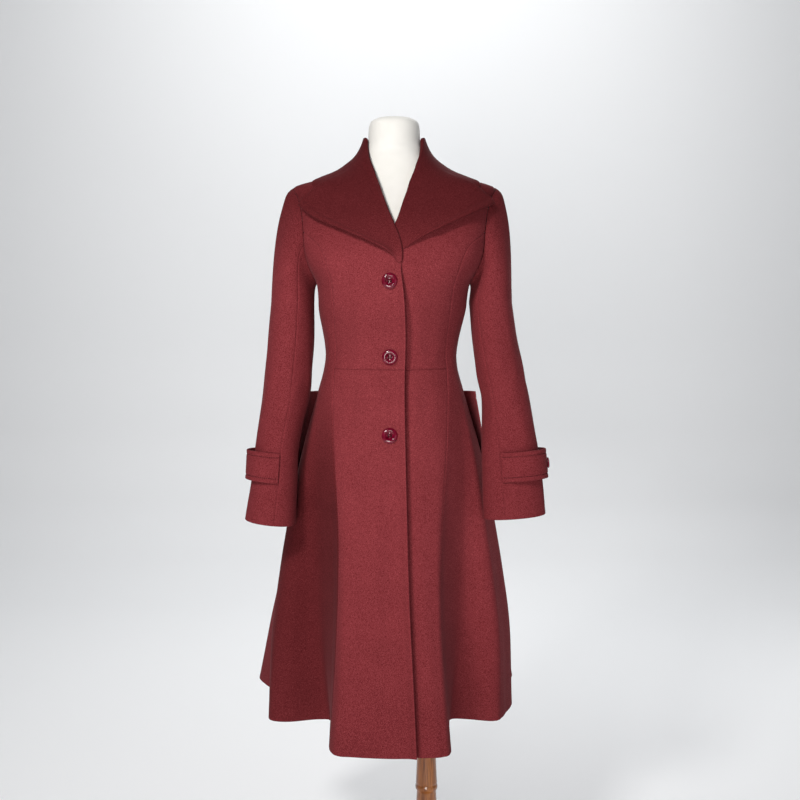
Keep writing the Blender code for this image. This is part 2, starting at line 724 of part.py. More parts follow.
class Sleeve:
    """Set-in sleeve. turn counts from the shoulder and outer side, 90 is the front, 180 the underarm."""

    def __init__(self, side, table, front_seam, strap_button):
        self.side = side
        self.table = table
        self.front_seam = front_seam
        self.strap_button = strap_button
        self.steps = np.arange(len(table))
        turns = []
        points = []
        for z in reversed(ARMHOLE_ROWS):
            turns.append(math.degrees(math.acos((z - ARMHOLE_MID_Z) / ARMHOLE_RISE)))
            points.append(body(side * armhole_turn(z, True), level_at(z)))
        for z in ARMHOLE_ROWS[1:]:
            turns.append(360.0 - math.degrees(math.acos((z - ARMHOLE_MID_Z) / ARMHOLE_RISE)))
            points.append(body(side * armhole_turn(z, False), level_at(z)))
        self.hole_turns = np.array(turns)
        self.hole_points = np.array(points)
        self.hole_middle = self.hole_points[:-1].mean(axis=0)

    def hole(self, turn):
        """Point of the armhole, drawn in by the seam gap."""
        around = np.asarray(turn, float) % 360.0
        columns = [np.interp(around, self.hole_turns, values) for values in self.hole_points.T]
        points = np.stack(columns, axis=-1)
        return points + unit(self.hole_middle - points) * ARMHOLE_GAP

    def arm(self, turn, step):
        """Point of the sleeve below the underarm."""
        z, x, y, half, depth, tilt = np.moveaxis(through(self.steps, self.table, step), -1, 0)
        angle = np.radians(turn)
        out = np.cos(angle)
        front = np.sin(angle)
        sum_of_powers = np.abs(out / half) ** SLEEVE_SQUARE + np.abs(front / depth) ** SLEEVE_SQUARE
        reach = sum_of_powers ** (-1 / SLEEVE_SQUARE)
        return np.stack((self.side * (x + reach * out), y - reach * front, z + tilt * reach * out), axis=-1)

    def point(self, turn, row):
        """Point of the sleeve. row runs from -1 at the armhole through 0 under the arm to the cuff."""
        if row >= 0:
            return self.arm(turn, np.full_like(turn, row))
        start = self.hole(turn)
        stop = self.arm(turn, np.zeros_like(turn))
        span = np.linalg.norm(stop - start, axis=-1, keepdims=True)
        leave = np.array((self.side * CAP_START[0], 0.0, -CAP_START[1])) * span
        arrive = np.array((self.side * CAP_END[0], 0.0, -CAP_END[1])) * span
        t = row + 1.0
        return (start * (1 + 2 * t) * (1 - t) ** 2 + leave * t * (1 - t) ** 2
                + stop * t * t * (3 - 2 * t) - arrive * t * t * (1 - t))

    def normal(self, turn, row):
        """Outward direction of the sleeve."""
        around = self.point(turn + TURN_STEP, row) - self.point(turn - TURN_STEP, row)
        along = self.point(turn, row + LEVEL_STEP) - self.point(turn, max(row - LEVEL_STEP, -1.0))
        return unit(np.cross(around, along)) * self.side

    def skin(self, turn, row, lift):
        """Point of the sleeve moved out by lift."""
        return self.point(turn, row) + self.normal(turn, row) * np.asarray(lift)[..., None]

    def row_at(self, z):
        """Row of the sleeve's centre line at a height."""
        steps = np.linspace(0, len(self.table) - 1, SLEEVE_SAMPLES)
        heights = through(self.steps, self.table, steps)[:, 0]
        return float(np.interp(-z, -heights, steps))

    def make_piece(self, name, first, last, columns, parent):
        """Top or under sleeve between its two seams."""
        outer = []
        inner = []
        rows = [cap - 1.0 for cap in CAP_ROWS] + list(ARM_ROWS)
        for row in rows:
            turns = np.linspace(first, last, columns)
            start, after_start, before_stop, stop = self.point(turns[[0, 1, -2, -1]], row)
            edge_steps = np.linalg.norm(((after_start - start), (stop - before_stop)), axis=-1)
            gap = SEAM_GAP * (last - first) / (columns - 1) / edge_steps
            turns = np.linspace(first + gap[0], last - gap[1], columns)
            outer.append(self.skin(turns, row, np.zeros_like(turns)))
            inner.append(self.skin(turns, row, np.full_like(turns, -CLOTH)))
        return wall(name, np.array(outer), np.array(inner), parent)


def strap_skin(sleeve, turns, part, lift):
    """Points of a cuff strap, moved out from its inner face. part runs from its low edge to its high one."""
    row = sleeve.row_at(STRAP_LOW_Z + (STRAP_HIGH_Z - STRAP_LOW_Z) * part)
    share = (sleeve.front_seam - turns) / (sleeve.front_seam - STRAP_END_TURN)
    stand = STRAP_STAND * np.sin(np.pi * share ** STRAP_LEAN) ** STRAP_BULGE
    return sleeve.skin(turns, row, LIE_GAP + stand * (STRAP_FLARE[0] + STRAP_FLARE[1] * part) + lift)


def make_strap(sleeve, side_name, parent):
    """Cuff strap from the front sleeve seam round the outside, standing off the sleeve, with its button."""
    turns = np.linspace(sleeve.front_seam - STRAP_SEAM, STRAP_END_TURN, STRAP_COLUMNS)
    outer = np.array([strap_skin(sleeve, turns, part, STRAP_CLOTH) for part in STRAP_PARTS])
    inner = np.array([strap_skin(sleeve, turns, part, 0.0) for part in STRAP_PARTS])
    wall("strap_" + side_name, outer, inner, parent)

    spot = np.array([sleeve.strap_button])
    low, point, high = [strap_skin(sleeve, spot, part, STRAP_CLOTH)[0] for part in STRAP_BUTTON_PARTS]
    side_step = strap_skin(sleeve, spot + TURN_STEP, 0.5, STRAP_CLOTH)[0] - point
    normal = unit(np.cross(side_step, low - high)) * sleeve.side
    under = np.array((low, point, high))
    make_button("strap_button_" + side_name, STRAP_BUTTON_RADIUS, point, normal, under, parent)


def turned(name, profile, steps, slot, parent):
    """Turned solid from a profile of distances and heights, top first."""
    mesh = bpy.data.meshes.new(name)
    mesh.from_pydata([(x, 0.0, z) for x, z in profile], [(i, i + 1) for i in range(len(profile) - 1)], [])
    made = add_object(name, mesh, slot, parent)
    screw = made.modifiers.new("turned", "SCREW")
    screw.axis = "Z"
    screw.steps = steps
    screw.render_steps = steps
    screw.use_merge_vertices = True
    screw.merge_threshold = MERGE_DISTANCE
    screw.use_smooth_shade = True
    return made


def place_on(made, point, normal):
    """Set a turned solid on a surface, its axis along the normal."""
    aim = Vector(normal).to_track_quat("Z", "Y").to_matrix().to_4x4()
    made.matrix_local = Matrix.Translation(point) @ aim


def make_button(name, radius, point, normal, under, parent):
    """Button with a raised rim and a dished middle, resting on the highest of the points under it."""
    profile = [(x * radius, z * radius) for x, z in BUTTON_PROFILE]
    made = turned(name, profile, BUTTON_SIDES, "button_horn", parent)
    rise = max(0.0, float(np.max((under - point) @ normal)))
    place_on(made, point + normal * (rise + SEAM_GAP), normal)
    return made


def make_front_buttons(parent):
    """Buttons on the right front."""
    for name, z in FRONT_BUTTONS:
        turn = turn_at_x(BUTTON_X, z)
        level = level_at(z)
        point = skin(turn, level, overlap_lift(turn))
        rest_levels = [level_at(z + BUTTON_RADIUS * up) for up in BUTTON_RESTS]
        under = np.array([skin(turn, rest, overlap_lift(turn)) for rest in rest_levels])
        make_button(name, BUTTON_RADIUS, point, body_normal(turn, level), under, parent)


def make_pocket(name, side, parent):
    """Hip pocket that lies on the side panels and stands open at its front and top."""
    around = np.linspace(0, 1, POCKET_COLUMNS)
    outer = []
    inner = []
    for up in np.linspace(0, 1, POCKET_LEVELS):
        level = level_at(POCKET_LOW_Z + (POCKET_HIGH_Z - POCKET_LOW_Z) * up)
        turns = side * (POCKET_TURNS[0] + (POCKET_TURNS[1] - POCKET_TURNS[0]) * around)
        gape = LIE_GAP + POCKET_GAPE * (up * (1 - around)) ** POCKET_CURVE
        outer.append(skin(turns, level, gape + CLOTH))
        inner.append(skin(turns, level, gape))
    return wall(name, np.array(outer), np.array(inner), parent)


def make_form(parent):
    """Dress form: hips, then a torso just inside the coat, then the neck."""
    degrees = np.linspace(0, 360, FORM_SIDES, endpoint=False)
    sections = []

    def oval_row(z, centre_x, half, front, back):
        reach = oval_reach(degrees, half, front, back, FORM_SQUARE)
        radians = np.radians(degrees)
        sections.append(np.stack((centre_x + reach * np.sin(radians), -reach * np.cos(radians),
                                  np.full_like(radians, z)), axis=-1))

    for row in FORM_HIPS:
        oval_row(*row)
    on_ridge = np.isclose(degrees % 180.0, SIDE_TURN)
    for z in FORM_ROWS:
        room = np.where(on_ridge & (z > SHOULDER_Z), FORM_RIDGE_ROOM, FORM_ROOM)
        sections.append(skin(degrees, level_at(z), -CLOTH - room))
    for row in FORM_NECK:
        oval_row(*row)

    shell = bmesh.new()
    rings = [[shell.verts.new(point) for point in section] for section in sections]
    for low, high in zip(rings, rings[1:]):
        for index in range(FORM_SIDES):
            after = (index + 1) % FORM_SIDES
            shell.faces.new((low[index], low[after], high[after], high[index]))
    shell.faces.new(rings[0][::-1])
    shell.faces.new(rings[-1])
    bmesh.ops.recalc_face_normals(shell, faces=shell.faces)
    mesh = bpy.data.meshes.new("form_torso")
    shell.to_mesh(mesh)
    shell.free()
    mesh.shade_smooth()
    mesh.set_sharp_from_angle(angle=SHARP_ANGLE)
    return add_object("form_torso", mesh, "form_jersey", parent)


for old in list(bpy.data.objects):
    bpy.data.objects.remove(old, do_unlink=True)
coat_parts = bpy.data.collections.new("cashmere_coat")
bpy.context.scene.collection.children.link(coat_parts)
axis = bpy.data.objects.new("coat_axis", None)
axis.location = (COAT_X, 0.0, 0.0)
coat_parts.objects.link(axis)

make_body(axis)
make_collar("collar_right", COLLAR_RIGHT, -1, axis)
make_collar("collar_left", COLLAR_LEFT, 1, axis)
make_stand(axis)
sleeves = {
    "right": Sleeve(-1, SLEEVE_RIGHT, FRONT_SEAM_RIGHT, STRAP_BUTTON_RIGHT),
    "left": Sleeve(1, SLEEVE_LEFT, FRONT_SEAM_LEFT, STRAP_BUTTON_LEFT),
}
for side_name, sleeve in sleeves.items():
    sleeve.make_piece("sleeve_top_" + side_name, SLEEVE_BACK_SEAM - 360.0, sleeve.front_seam,
                      TOP_SLEEVE_COLUMNS, axis)
    sleeve.make_piece("sleeve_under_" + side_name, sleeve.front_seam, SLEEVE_BACK_SEAM,
                      UNDER_SLEEVE_COLUMNS, axis)
    make_strap(sleeve, side_name, axis)
    make_pocket("pocket_" + side_name, sleeve.side, axis)
make_front_buttons(axis)
make_form(axis)
turned("stand_post", POST_PROFILE, POST_SIDES, "varnished_wood", None)
turned("stand_base", BASE_PROFILE, BASE_SIDES, "varnished_wood", None)
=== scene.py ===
"""Cashmere coat on its dress form and turned stand: cloth shells, buttons, stitches, looks, light, camera.

Metres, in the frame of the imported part: +Z up, the coat's front towards -Y. The coat's cloth lies on the
surface body(turn, level). turn is the place round the coat in degrees, counted at the waist from the centre
front towards the wearer's left. level is the place between the rows of BODY_RINGS, from the hem up to the
neck.
"""

import math

import bmesh
import bpy
import numpy as np
from mathutils import Matrix, Vector


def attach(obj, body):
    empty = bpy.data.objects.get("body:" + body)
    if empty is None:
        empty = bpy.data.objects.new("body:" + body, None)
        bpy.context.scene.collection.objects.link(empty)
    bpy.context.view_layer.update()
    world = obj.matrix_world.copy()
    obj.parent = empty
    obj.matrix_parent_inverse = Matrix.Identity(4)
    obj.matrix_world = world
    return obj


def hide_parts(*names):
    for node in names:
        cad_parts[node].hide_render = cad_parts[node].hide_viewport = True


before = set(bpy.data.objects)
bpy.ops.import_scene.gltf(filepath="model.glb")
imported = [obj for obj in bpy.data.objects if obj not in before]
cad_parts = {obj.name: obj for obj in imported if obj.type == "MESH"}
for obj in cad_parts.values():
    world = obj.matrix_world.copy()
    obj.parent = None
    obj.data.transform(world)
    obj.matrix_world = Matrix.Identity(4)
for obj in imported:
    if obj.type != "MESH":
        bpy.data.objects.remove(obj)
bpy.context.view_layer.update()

# Driving dimensions
COAT_X = -0.068
HEM_Z = 0.400
WAIST_Z = 1.0475
UNDERARM_Z = 1.203
SEAM_TOP_Z = 1.292
SHOULDER_Z = 1.377
NECK_SEAM_Z = 1.430
ROLL_TOP_Z = 1.464
CLOTH = 0.0025
COLLAR_CLOTH = 0.0035
STRAP_CLOTH = 0.0030
SEAM_GAP = 0.00002
WAIST_GAP = 0.00004
WAIST_DIP = 0.0017
OVERLAP_LIFT = 0.0036
OVERLAP_FADE = (-44.0, -16.0)
UNDERLAP_X = -0.018
NECK_X = 0.0065
CHEST_X = 0.0107
PRINCESS_TURN = 58.0
SIDE_TURN = 90.0
BACK_SEAM_TURN = 132.0
SEAM_TIP = 1.6
ANGLE_GROWTH = 3.0
FOLD_GROWTH = 1.6
TURN_STEP = 0.3
LEVEL_STEP = 0.03
LIE_GAP = 0.0008
SHARP_ANGLE = math.radians(40)
BACK_TURN = 180.0
# Turns between which the search for a place on the front or on the armhole runs
FRONT_TURNS = (-90.0, 90.0)
ARMHOLE_TURNS = (30.0, 150.0)
SEARCH_STEPS = 34
LEVEL_COUNT = 3001

# Body sections: z, centre x, half width, front depth, back depth, squareness
BODY_RINGS = np.array((
    (0.400, 0.0000, 0.2280, 0.2620, 0.2550, 2.00),
    (0.550, 0.0000, 0.2235, 0.2250, 0.2270, 2.00),
    (0.665, 0.0000, 0.2085, 0.1980, 0.2050, 2.00),
    (0.747, 0.0000, 0.1955, 0.1790, 0.1880, 2.00),
    (0.820, 0.0000, 0.1820, 0.1630, 0.1700, 2.05),
    (0.879, 0.0000, 0.1695, 0.1500, 0.1540, 2.10),
    (0.920, 0.0000, 0.1590, 0.1410, 0.1430, 2.10),
    (0.957, 0.0000, 0.1485, 0.1320, 0.1310, 2.10),
    (0.985, 0.0000, 0.1402, 0.1240, 0.1210, 2.15),
    (1.010, 0.0000, 0.1335, 0.1160, 0.1110, 2.20),
    (1.030, 0.0000, 0.1277, 0.1100, 0.1030, 2.20),
    (1.0475, 0.0000, 0.1237, 0.1060, 0.0960, 2.20),
    (1.070, 0.0005, 0.1215, 0.1050, 0.0930, 2.20),
    (1.095, 0.0010, 0.1240, 0.1090, 0.0940, 2.25),
    (1.121, 0.0015, 0.1290, 0.1170, 0.0980, 2.30),
    (1.152, 0.0025, 0.1355, 0.1280, 0.1040, 2.35),
    (1.180, 0.0035, 0.1375, 0.1320, 0.1080, 2.40),
    (1.203, 0.0045, 0.1415, 0.1310, 0.1105, 2.50),
    (1.228, 0.0055, 0.1550, 0.1280, 0.1120, 2.60),
    (1.256, 0.0060, 0.1675, 0.1210, 0.1120, 2.60),
    (1.290, 0.0065, 0.1745, 0.1100, 0.1090, 2.60),
    (1.325, 0.0070, 0.1805, 0.0960, 0.1020, 2.55),
    (1.355, 0.0070, 0.1845, 0.0810, 0.0920, 2.50),
    (1.377, 0.0070, 0.1850, 0.0690, 0.0810, 2.40),
    (1.391, 0.0070, 0.1420, 0.0640, 0.0730, 2.20),
    (1.404, 0.0070, 0.1070, 0.0610, 0.0680, 2.10),
    (1.417, 0.0065, 0.0860, 0.0585, 0.0640, 2.00),
    (1.430, 0.0065, 0.0705, 0.0560, 0.0620, 2.00),
    (1.446, 0.0065, 0.0600, 0.0530, 0.0610, 2.00),
    (1.464, 0.0065, 0.0530, 0.0520, 0.0620, 2.00),
    (1.480, 0.0065, 0.0500, 0.0520, 0.0620, 2.00),
))

# Skirt folds: turn at the waist, direction at the hem, reach at the hem
FOLDS = np.array((
    (-180.0, -180.0, 0.264),
    (-170.0, -169.5, 0.261),
    (-160.0, -157.0, 0.252),
    (-150.0, -146.5, 0.270),
    (-143.0, -137.0, 0.303),
    (-136.0, -127.0, 0.320),
    (-130.0, -119.5, 0.312),
    (-124.0, -113.0, 0.276),
    (-117.0, -107.5, 0.243),
    (-109.0, -100.5, 0.220),
    (-100.0, -90.0, 0.213),
    (-91.0, -80.5, 0.224),
    (-84.0, -73.0, 0.238),
    (-78.0, -67.5, 0.235),
    (-73.0, -63.0, 0.208),
    (-69.0, -58.5, 0.157),
    (-66.5, -53.0, 0.141),
    (-64.5, -46.0, 0.150),
    (-63.0, -39.5, 0.169),
    (-61.5, -33.0, 0.196),
    (-60.0, -28.8, 0.222),
    (-58.0, -25.8, 0.243),
    (-54.0, -23.0, 0.258),
    (-46.0, -19.5, 0.267),
    (-34.0, -14.5, 0.264),
    (-18.0, -7.8, 0.2615),
    (0.0, 0.0, 0.262),
    (18.0, 7.8, 0.264),
    (34.0, 14.5, 0.268),
    (46.0, 19.5, 0.271),
    (54.0, 22.8, 0.265),
    (58.0, 25.4, 0.248),
    (60.0, 28.3, 0.224),
    (61.5, 33.0, 0.196),
    (63.0, 40.0, 0.167),
    (64.5, 47.0, 0.147),
    (66.5, 54.0, 0.139),
    (69.0, 59.5, 0.157),
    (73.0, 64.5, 0.207),
    (78.0, 70.0, 0.218),
    (84.0, 77.5, 0.221),
    (91.0, 88.0, 0.230),
    (100.0, 98.5, 0.233),
    (109.0, 107.5, 0.230),
    (117.0, 114.5, 0.246),
    (124.0, 120.0, 0.280),
    (130.0, 125.0, 0.303),
    (136.0, 131.0, 0.309),
    (143.0, 139.5, 0.294),
    (150.0, 148.0, 0.265),
    (160.0, 158.0, 0.251),
    (170.0, 170.0, 0.260),
    (180.0, 180.0, 0.264),
))

# Front edge of the right front below the break of the collar: z, x
FRONT_EDGE = np.array((
    (0.400, 0.0450),
    (0.492, 0.0409),
    (0.654, 0.0326),
    (0.822, 0.0275),
    (0.995, 0.0241),
    (1.171, 0.0240),
    (1.223, 0.0190),
))
BREAK_Z = 1.235

# Roll line of the collar: z, distance from the neck's centre line
ROLL_LINE = np.array((
    (1.235, -0.0122),
    (1.258, -0.0122),
    (1.281, -0.0070),
    (1.299, 0.0000),
    (1.320, 0.0095),
    (1.355, 0.0210),
    (1.404, 0.0372),
    (1.439, 0.0480),
    (1.464, 0.0502),
))

# Princess seams above the waist: z, turn
FRONT_PRINCESS = (
    (WAIST_Z, PRINCESS_TURN),
    (1.105, 54.0),
    (1.161, 48.5),
    (1.205, 49.0),
    (1.247, 52.5),
    (1.270, 58.0),
)
BACK_PRINCESS = (
    (WAIST_Z, BACK_SEAM_TURN),
    (1.105, 131.0),
    (1.172, 127.0),
    (1.215, 121.0),
    (1.262, 111.0),
)

# Armhole seen from the side: an oval
ARMHOLE_Y = 0.002
ARMHOLE_LAP = 0.0012
ARMHOLE_FRONT = 0.054
ARMHOLE_BACK = 0.056
ARMHOLE_MID_Z = (UNDERARM_Z + SHOULDER_Z) / 2
ARMHOLE_RISE = (SHOULDER_Z - UNDERARM_Z) / 2

# Front of each collar half: roll z, edge distance from the chest's centre, edge z
COLLAR_RIGHT = (
    (1.238, -0.0028, 1.2345),
    (1.254, 0.0094, 1.2500),
    (1.276, 0.0230, 1.2590),
    (1.302, 0.0461, 1.2704),
    (1.340, 0.0953, 1.2927),
    (1.378, 0.1420, 1.3145),
    (1.408, 0.1690, 1.3375),
    (1.432, 0.1615, 1.3530),
    (1.450, 0.1470, 1.3680),
)
COLLAR_LEFT = (
    (1.3035, 0.0119, 1.2605),
    (1.320, 0.0447, 1.2801),
    (1.345, 0.0818, 1.2979),
    (1.370, 0.1198, 1.3162),
    (1.395, 0.1480, 1.3300),
    (1.415, 0.1680, 1.3420),
    (1.434, 0.1610, 1.3545),
    (1.450, 0.1470, 1.3680),
)
# Rest of each collar half, round the neck: roll turn, roll z, edge turn, edge z
COLLAR_BACK = (
    (72.0, 1.4630, 86.0, 1.3945),
    (97.0, 1.4640, 104.0, 1.3880),
    (125.0, 1.4650, 128.0, 1.3790),
    (152.0, 1.4660, 154.0, 1.3730),
    (180.0, 1.4660, 180.0, 1.3710),
)
COLLAR_REST = 0.0010
COLLAR_EDGE_LIFT = 0.0040
COLLAR_BACK_LIFT = 0.0008
COLLAR_BEND_LIFT = 0.0004
COLLAR_BEND = (1.380, 0.014)

# Sleeve sections below the arm: z, centre x from the coat's axis, centre y, half width, half depth, tilt
SLEEVE_RIGHT = np.array((
    (1.165, 0.1820, -0.002, 0.0395, 0.064, 0.00),
    (1.096, 0.1850, -0.013, 0.0430, 0.059, 0.00),
    (1.040, 0.1892, -0.028, 0.0430, 0.055, 0.01),
    (0.989, 0.1935, -0.045, 0.0420, 0.051, 0.02),
    (0.912, 0.2055, -0.070, 0.0390, 0.047, 0.05),
    (0.843, 0.2095, -0.090, 0.0410, 0.045, 0.08),
    (0.776, 0.2155, -0.106, 0.0450, 0.044, 0.12),
))
SLEEVE_LEFT = np.array((
    (1.165, 0.1850, -0.002, 0.0395, 0.064, 0.00),
    (1.096, 0.1925, -0.013, 0.0415, 0.059, 0.00),
    (1.040, 0.2015, -0.027, 0.0428, 0.054, 0.01),
    (0.989, 0.2110, -0.042, 0.0442, 0.049, 0.02),
    (0.912, 0.2165, -0.064, 0.0510, 0.042, 0.04),
    (0.843, 0.2205, -0.082, 0.0546, 0.038, 0.06),
    (0.784, 0.2230, -0.096, 0.0563, 0.036, 0.08),
))
SLEEVE_SQUARE = 2.2
SLEEVE_BACK_SEAM = 248.0
CAP_START = (0.46, 0.46)
CAP_END = (0.05, 0.95)

# Cuff straps
STRAP_LOW_Z = 0.848
STRAP_HIGH_Z = 0.900
STRAP_END_TURN = -72.0
STRAP_STAND = 0.0100
STRAP_LEAN = 0.9
STRAP_BULGE = 1.4
STRAP_FLARE = (0.8, 0.3)
STRAP_SEAM = 1.0
STRAP_MIDDLE = 0.5
STRAP_BUTTON_RIGHT = -32.0
STRAP_BUTTON_LEFT = 6.0
STRAP_BUTTON_PARTS = (0.3, 0.5, 0.7)

# Hip pockets
POCKET_TURNS = (91.0, 128.0)
POCKET_LOW_Z = 0.842
POCKET_HIGH_Z = 0.996
POCKET_GAPE = 0.019
POCKET_CURVE = 1.1

# Buttons: name, height of the centre
FRONT_BUTTONS = (("button_top", 1.2042), ("button_middle", 1.0709), ("button_low", 0.9331))
BUTTON_X = -0.001
BUTTON_RADIUS = 0.0140
STRAP_BUTTON_RADIUS = 0.0100
# Button profile as shares of the radius: distance from the axis, height
BUTTON_PROFILE = (
    (0.0, 0.15), (0.40, 0.15), (0.52, 0.25), (0.62, 0.34), (0.76, 0.33),
    (0.90, 0.25), (1.0, 0.14), (0.98, 0.07), (0.80, 0.0), (0.0, 0.0),
)
BUTTON_SIDES = 48
BUTTON_ROUNDING = 5
# Places above and below the centre, in radii, where a button may rest on the cloth
BUTTON_RESTS = (-1.0, -0.5, 0.5, 1.0)

# Dress form
FORM_ROOM = 0.0068
FORM_SQUARE = 2.1
FORM_TOP_Z = 1.502
# Hips and neck of the form: z, centre x, half width, front depth, back depth
FORM_HIPS = (
    (0.800, 0.0000, 0.1120, 0.0900, 0.0950),
    (0.808, 0.0000, 0.1280, 0.1050, 0.1100),
    (0.835, 0.0000, 0.1400, 0.1170, 0.1220),
    (0.880, 0.0000, 0.1470, 0.1240, 0.1290),
    (0.925, 0.0000, 0.1430, 0.1230, 0.1250),
    (0.965, 0.0000, 0.1350, 0.1170, 0.1150),
)
FORM_NECK = (
    (1.444, 0.0065, 0.0525, 0.0510, 0.0560),
    (1.458, 0.0065, 0.0480, 0.0490, 0.0545),
    (1.480, 0.0065, 0.0470, 0.0480, 0.0530),
    (1.495, 0.0065, 0.0435, 0.0445, 0.0490),
    (FORM_TOP_Z, 0.0065, 0.0320, 0.0330, 0.0360),
)
FORM_ROWS = (1.000, 1.035, 1.070, 1.105, 1.140, 1.172, 1.203, 1.235, 1.262, 1.292, 1.322, 1.350, 1.368,
             SHOULDER_Z, 1.389, 1.403, 1.417, NECK_SEAM_Z)

# Stand: distance from the axis, height
POST_PROFILE = (
    (0.0, 0.7995), (0.0172, 0.7995), (0.0175, 0.7990), (0.0175, 0.3120), (0.0178, 0.3050),
    (0.0203, 0.2480), (0.0206, 0.2455), (0.0198, 0.2440), (0.0198, 0.2425), (0.0209, 0.2405),
    (0.0214, 0.2370), (0.0209, 0.2335), (0.0195, 0.2310), (0.0188, 0.2280), (0.0190, 0.2220),
    (0.0205, 0.1800), (0.0214, 0.1300), (0.0222, 0.0880), (0.0232, 0.0760), (0.0262, 0.0620),
    (0.0312, 0.0510), (0.0352, 0.0440), (0.0388, 0.0375), (0.0408, 0.0330), (0.0418, 0.0310),
    (0.0418, 0.0303), (0.0, 0.0303),
)
BASE_PROFILE = (
    (0.0, 0.0300), (0.1000, 0.0300), (0.1480, 0.0300), (0.1560, 0.0292), (0.1660, 0.0272),
    (0.1745, 0.0244), (0.1805, 0.0208), (0.1840, 0.0168), (0.1850, 0.0130), (0.1850, 0.0050),
    (0.1843, 0.0022), (0.1825, 0.0005), (0.1808, 0.0), (0.0, 0.0),
)
POST_SIDES = 64
BASE_SIDES = 96

# Cloth shells: steps in from a border, seam groove, welding distance, samples across a panel
EDGE_STEPS = np.array((0.0, 0.00012, 0.0004, 0.0008, 0.0013, 0.0022, 0.0036, 0.0060))
EDGE_SHARE = 0.42
SEAM_DIP = 0.0010
SEAM_ROLL = 0.0034
WELD = 0.000005
FINE = 160
CALM_RANGE = 0.060
# Rows and columns of the grids
SKIRT_GRID = (96, 40)
BODICE_GRID = (84, 44)
SIDE_GRID = (140, 44)
BACK_GRID = (160, 44)
STAND_GRID = (14, 120)
POCKET_GRID = (40, 40)
STRAP_GRID = (30, 100)
STRAP_SAMPLES = 110
ARMHOLE_SAMPLES = 61
ARM_SAMPLES = 601
CAP_ROWS = 26
ARM_ROWS = 84
TOP_SLEEVE_COLUMNS = 60
UNDER_SLEEVE_COLUMNS = 44
FORM_GRID = (150, 96)
# The right front's edge stands away from the left front, which is pressed in beside it
EDGE_STAND = 0.0100
EDGE_STAND_WIDTH = 0.0085
EDGE_STAND_FADE = 0.050
EDGE_TUCK = 0.0055
EDGE_TUCK_WIDTH = 0.009

# Creases of the body: turn, height, lean in degrees a metre, width in degrees, length, rise
BODY_CREASES = (
    (-30.0, 1.100, 120.0, 5.0, 0.060, 0.0016),
    (-20.0, 1.062, -260.0, 4.0, 0.028, 0.0012),
    (27.0, 1.092, -140.0, 5.0, 0.055, 0.0014),
    (40.0, 1.060, 220.0, 5.0, 0.030, 0.0012),
    (-66.0, 1.080, 90.0, 6.0, 0.050, 0.0015),
    (68.0, 1.075, -100.0, 6.0, 0.050, 0.0014),
    (-38.0, 1.000, -40.0, 6.0, 0.070, -0.0016),
    (34.0, 0.985, 60.0, 6.0, 0.080, -0.0014),
    (-12.0, 0.840, 20.0, 7.0, 0.160, 0.0022),
    (14.0, 0.760, -16.0, 6.0, 0.200, 0.0020),
    (-40.0, 0.700, 10.0, 6.0, 0.240, -0.0026),
    (36.0, 0.640, -12.0, 7.0, 0.200, 0.0024),
    (62.0, 0.600, 0.0, 5.0, 0.200, -0.0050),
    (72.0, 0.590, 0.0, 5.0, 0.200, 0.0060),
    (-5.0, 0.560, 14.0, 6.0, 0.160, -0.0022),
    (-88.0, 0.660, 14.0, 5.0, 0.220, 0.0030),
    (88.0, 0.700, -14.0, 5.0, 0.200, 0.0030),
    (104.0, 0.620, 10.0, 6.0, 0.200, -0.0030),
    (-106.0, 0.600, -8.0, 6.0, 0.220, -0.0028),
    (-148.0, 1.075, 160.0, 7.0, 0.045, 0.0020),
    (150.0, 1.070, -170.0, 7.0, 0.045, 0.0022),
    (168.0, 1.120, 60.0, 6.0, 0.070, -0.0014),
    (-166.0, 1.130, -70.0, 6.0, 0.080, 0.0014),
    (-120.0, 1.150, 150.0, 8.0, 0.060, 0.0018),
    (122.0, 1.140, -150.0, 8.0, 0.060, 0.0018),
    (157.0, 0.760, 12.0, 6.0, 0.260, 0.0034),
    (-155.0, 0.730, -14.0, 7.0, 0.240, 0.0032),
    (175.0, 0.640, 6.0, 6.0, 0.240, -0.0030),
    (140.0, 0.600, 10.0, 6.0, 0.180, -0.0026),
    (-138.0, 0.560, -10.0, 6.0, 0.180, -0.0026),
    (-150.0, 1.270, 90.0, 9.0, 0.040, 0.0014),
    (152.0, 1.265, -90.0, 9.0, 0.040, 0.0016),
)
# Unevenness: waves round the coat, radians a metre up it, phase, rise
RIPPLES = (
    (7.0, 9.0, 0.4, 0.00030),
    (11.0, -14.0, 2.1, 0.00024),
    (5.0, 23.0, 4.4, 0.00026),
    (17.0, 6.0, 1.3, 0.00014),
)
# Creases of each sleeve: turn, height, lean in degrees a metre, width in degrees, length, rise
SLEEVE_RIGHT_CREASES = (
    (96.0, 1.080, -60.0, 9.0, 0.150, 0.0016),
    (60.0, 1.020, 380.0, 13.0, 0.040, 0.0020),
    (110.0, 1.000, 300.0, 12.0, 0.032, 0.0024),
    (150.0, 1.030, -200.0, 14.0, 0.034, 0.0026),
    (195.0, 1.010, 260.0, 14.0, 0.034, 0.0022),
    (20.0, 1.050, -160.0, 14.0, 0.060, -0.0016),
    (40.0, 0.930, 120.0, 12.0, 0.050, 0.0016),
    (300.0, 1.040, 240.0, 16.0, 0.050, 0.0022),
    (320.0, 0.960, -160.0, 14.0, 0.060, 0.0018),
    (250.0, 0.940, 160.0, 14.0, 0.070, 0.0018),
    (70.0, 1.240, 180.0, 12.0, 0.050, -0.0014),
    (300.0, 1.230, -160.0, 14.0, 0.060, 0.0018),
    (80.0, 0.815, 60.0, 12.0, 0.040, -0.0010),
    (20.0, 0.810, -80.0, 12.0, 0.040, 0.0010),
)
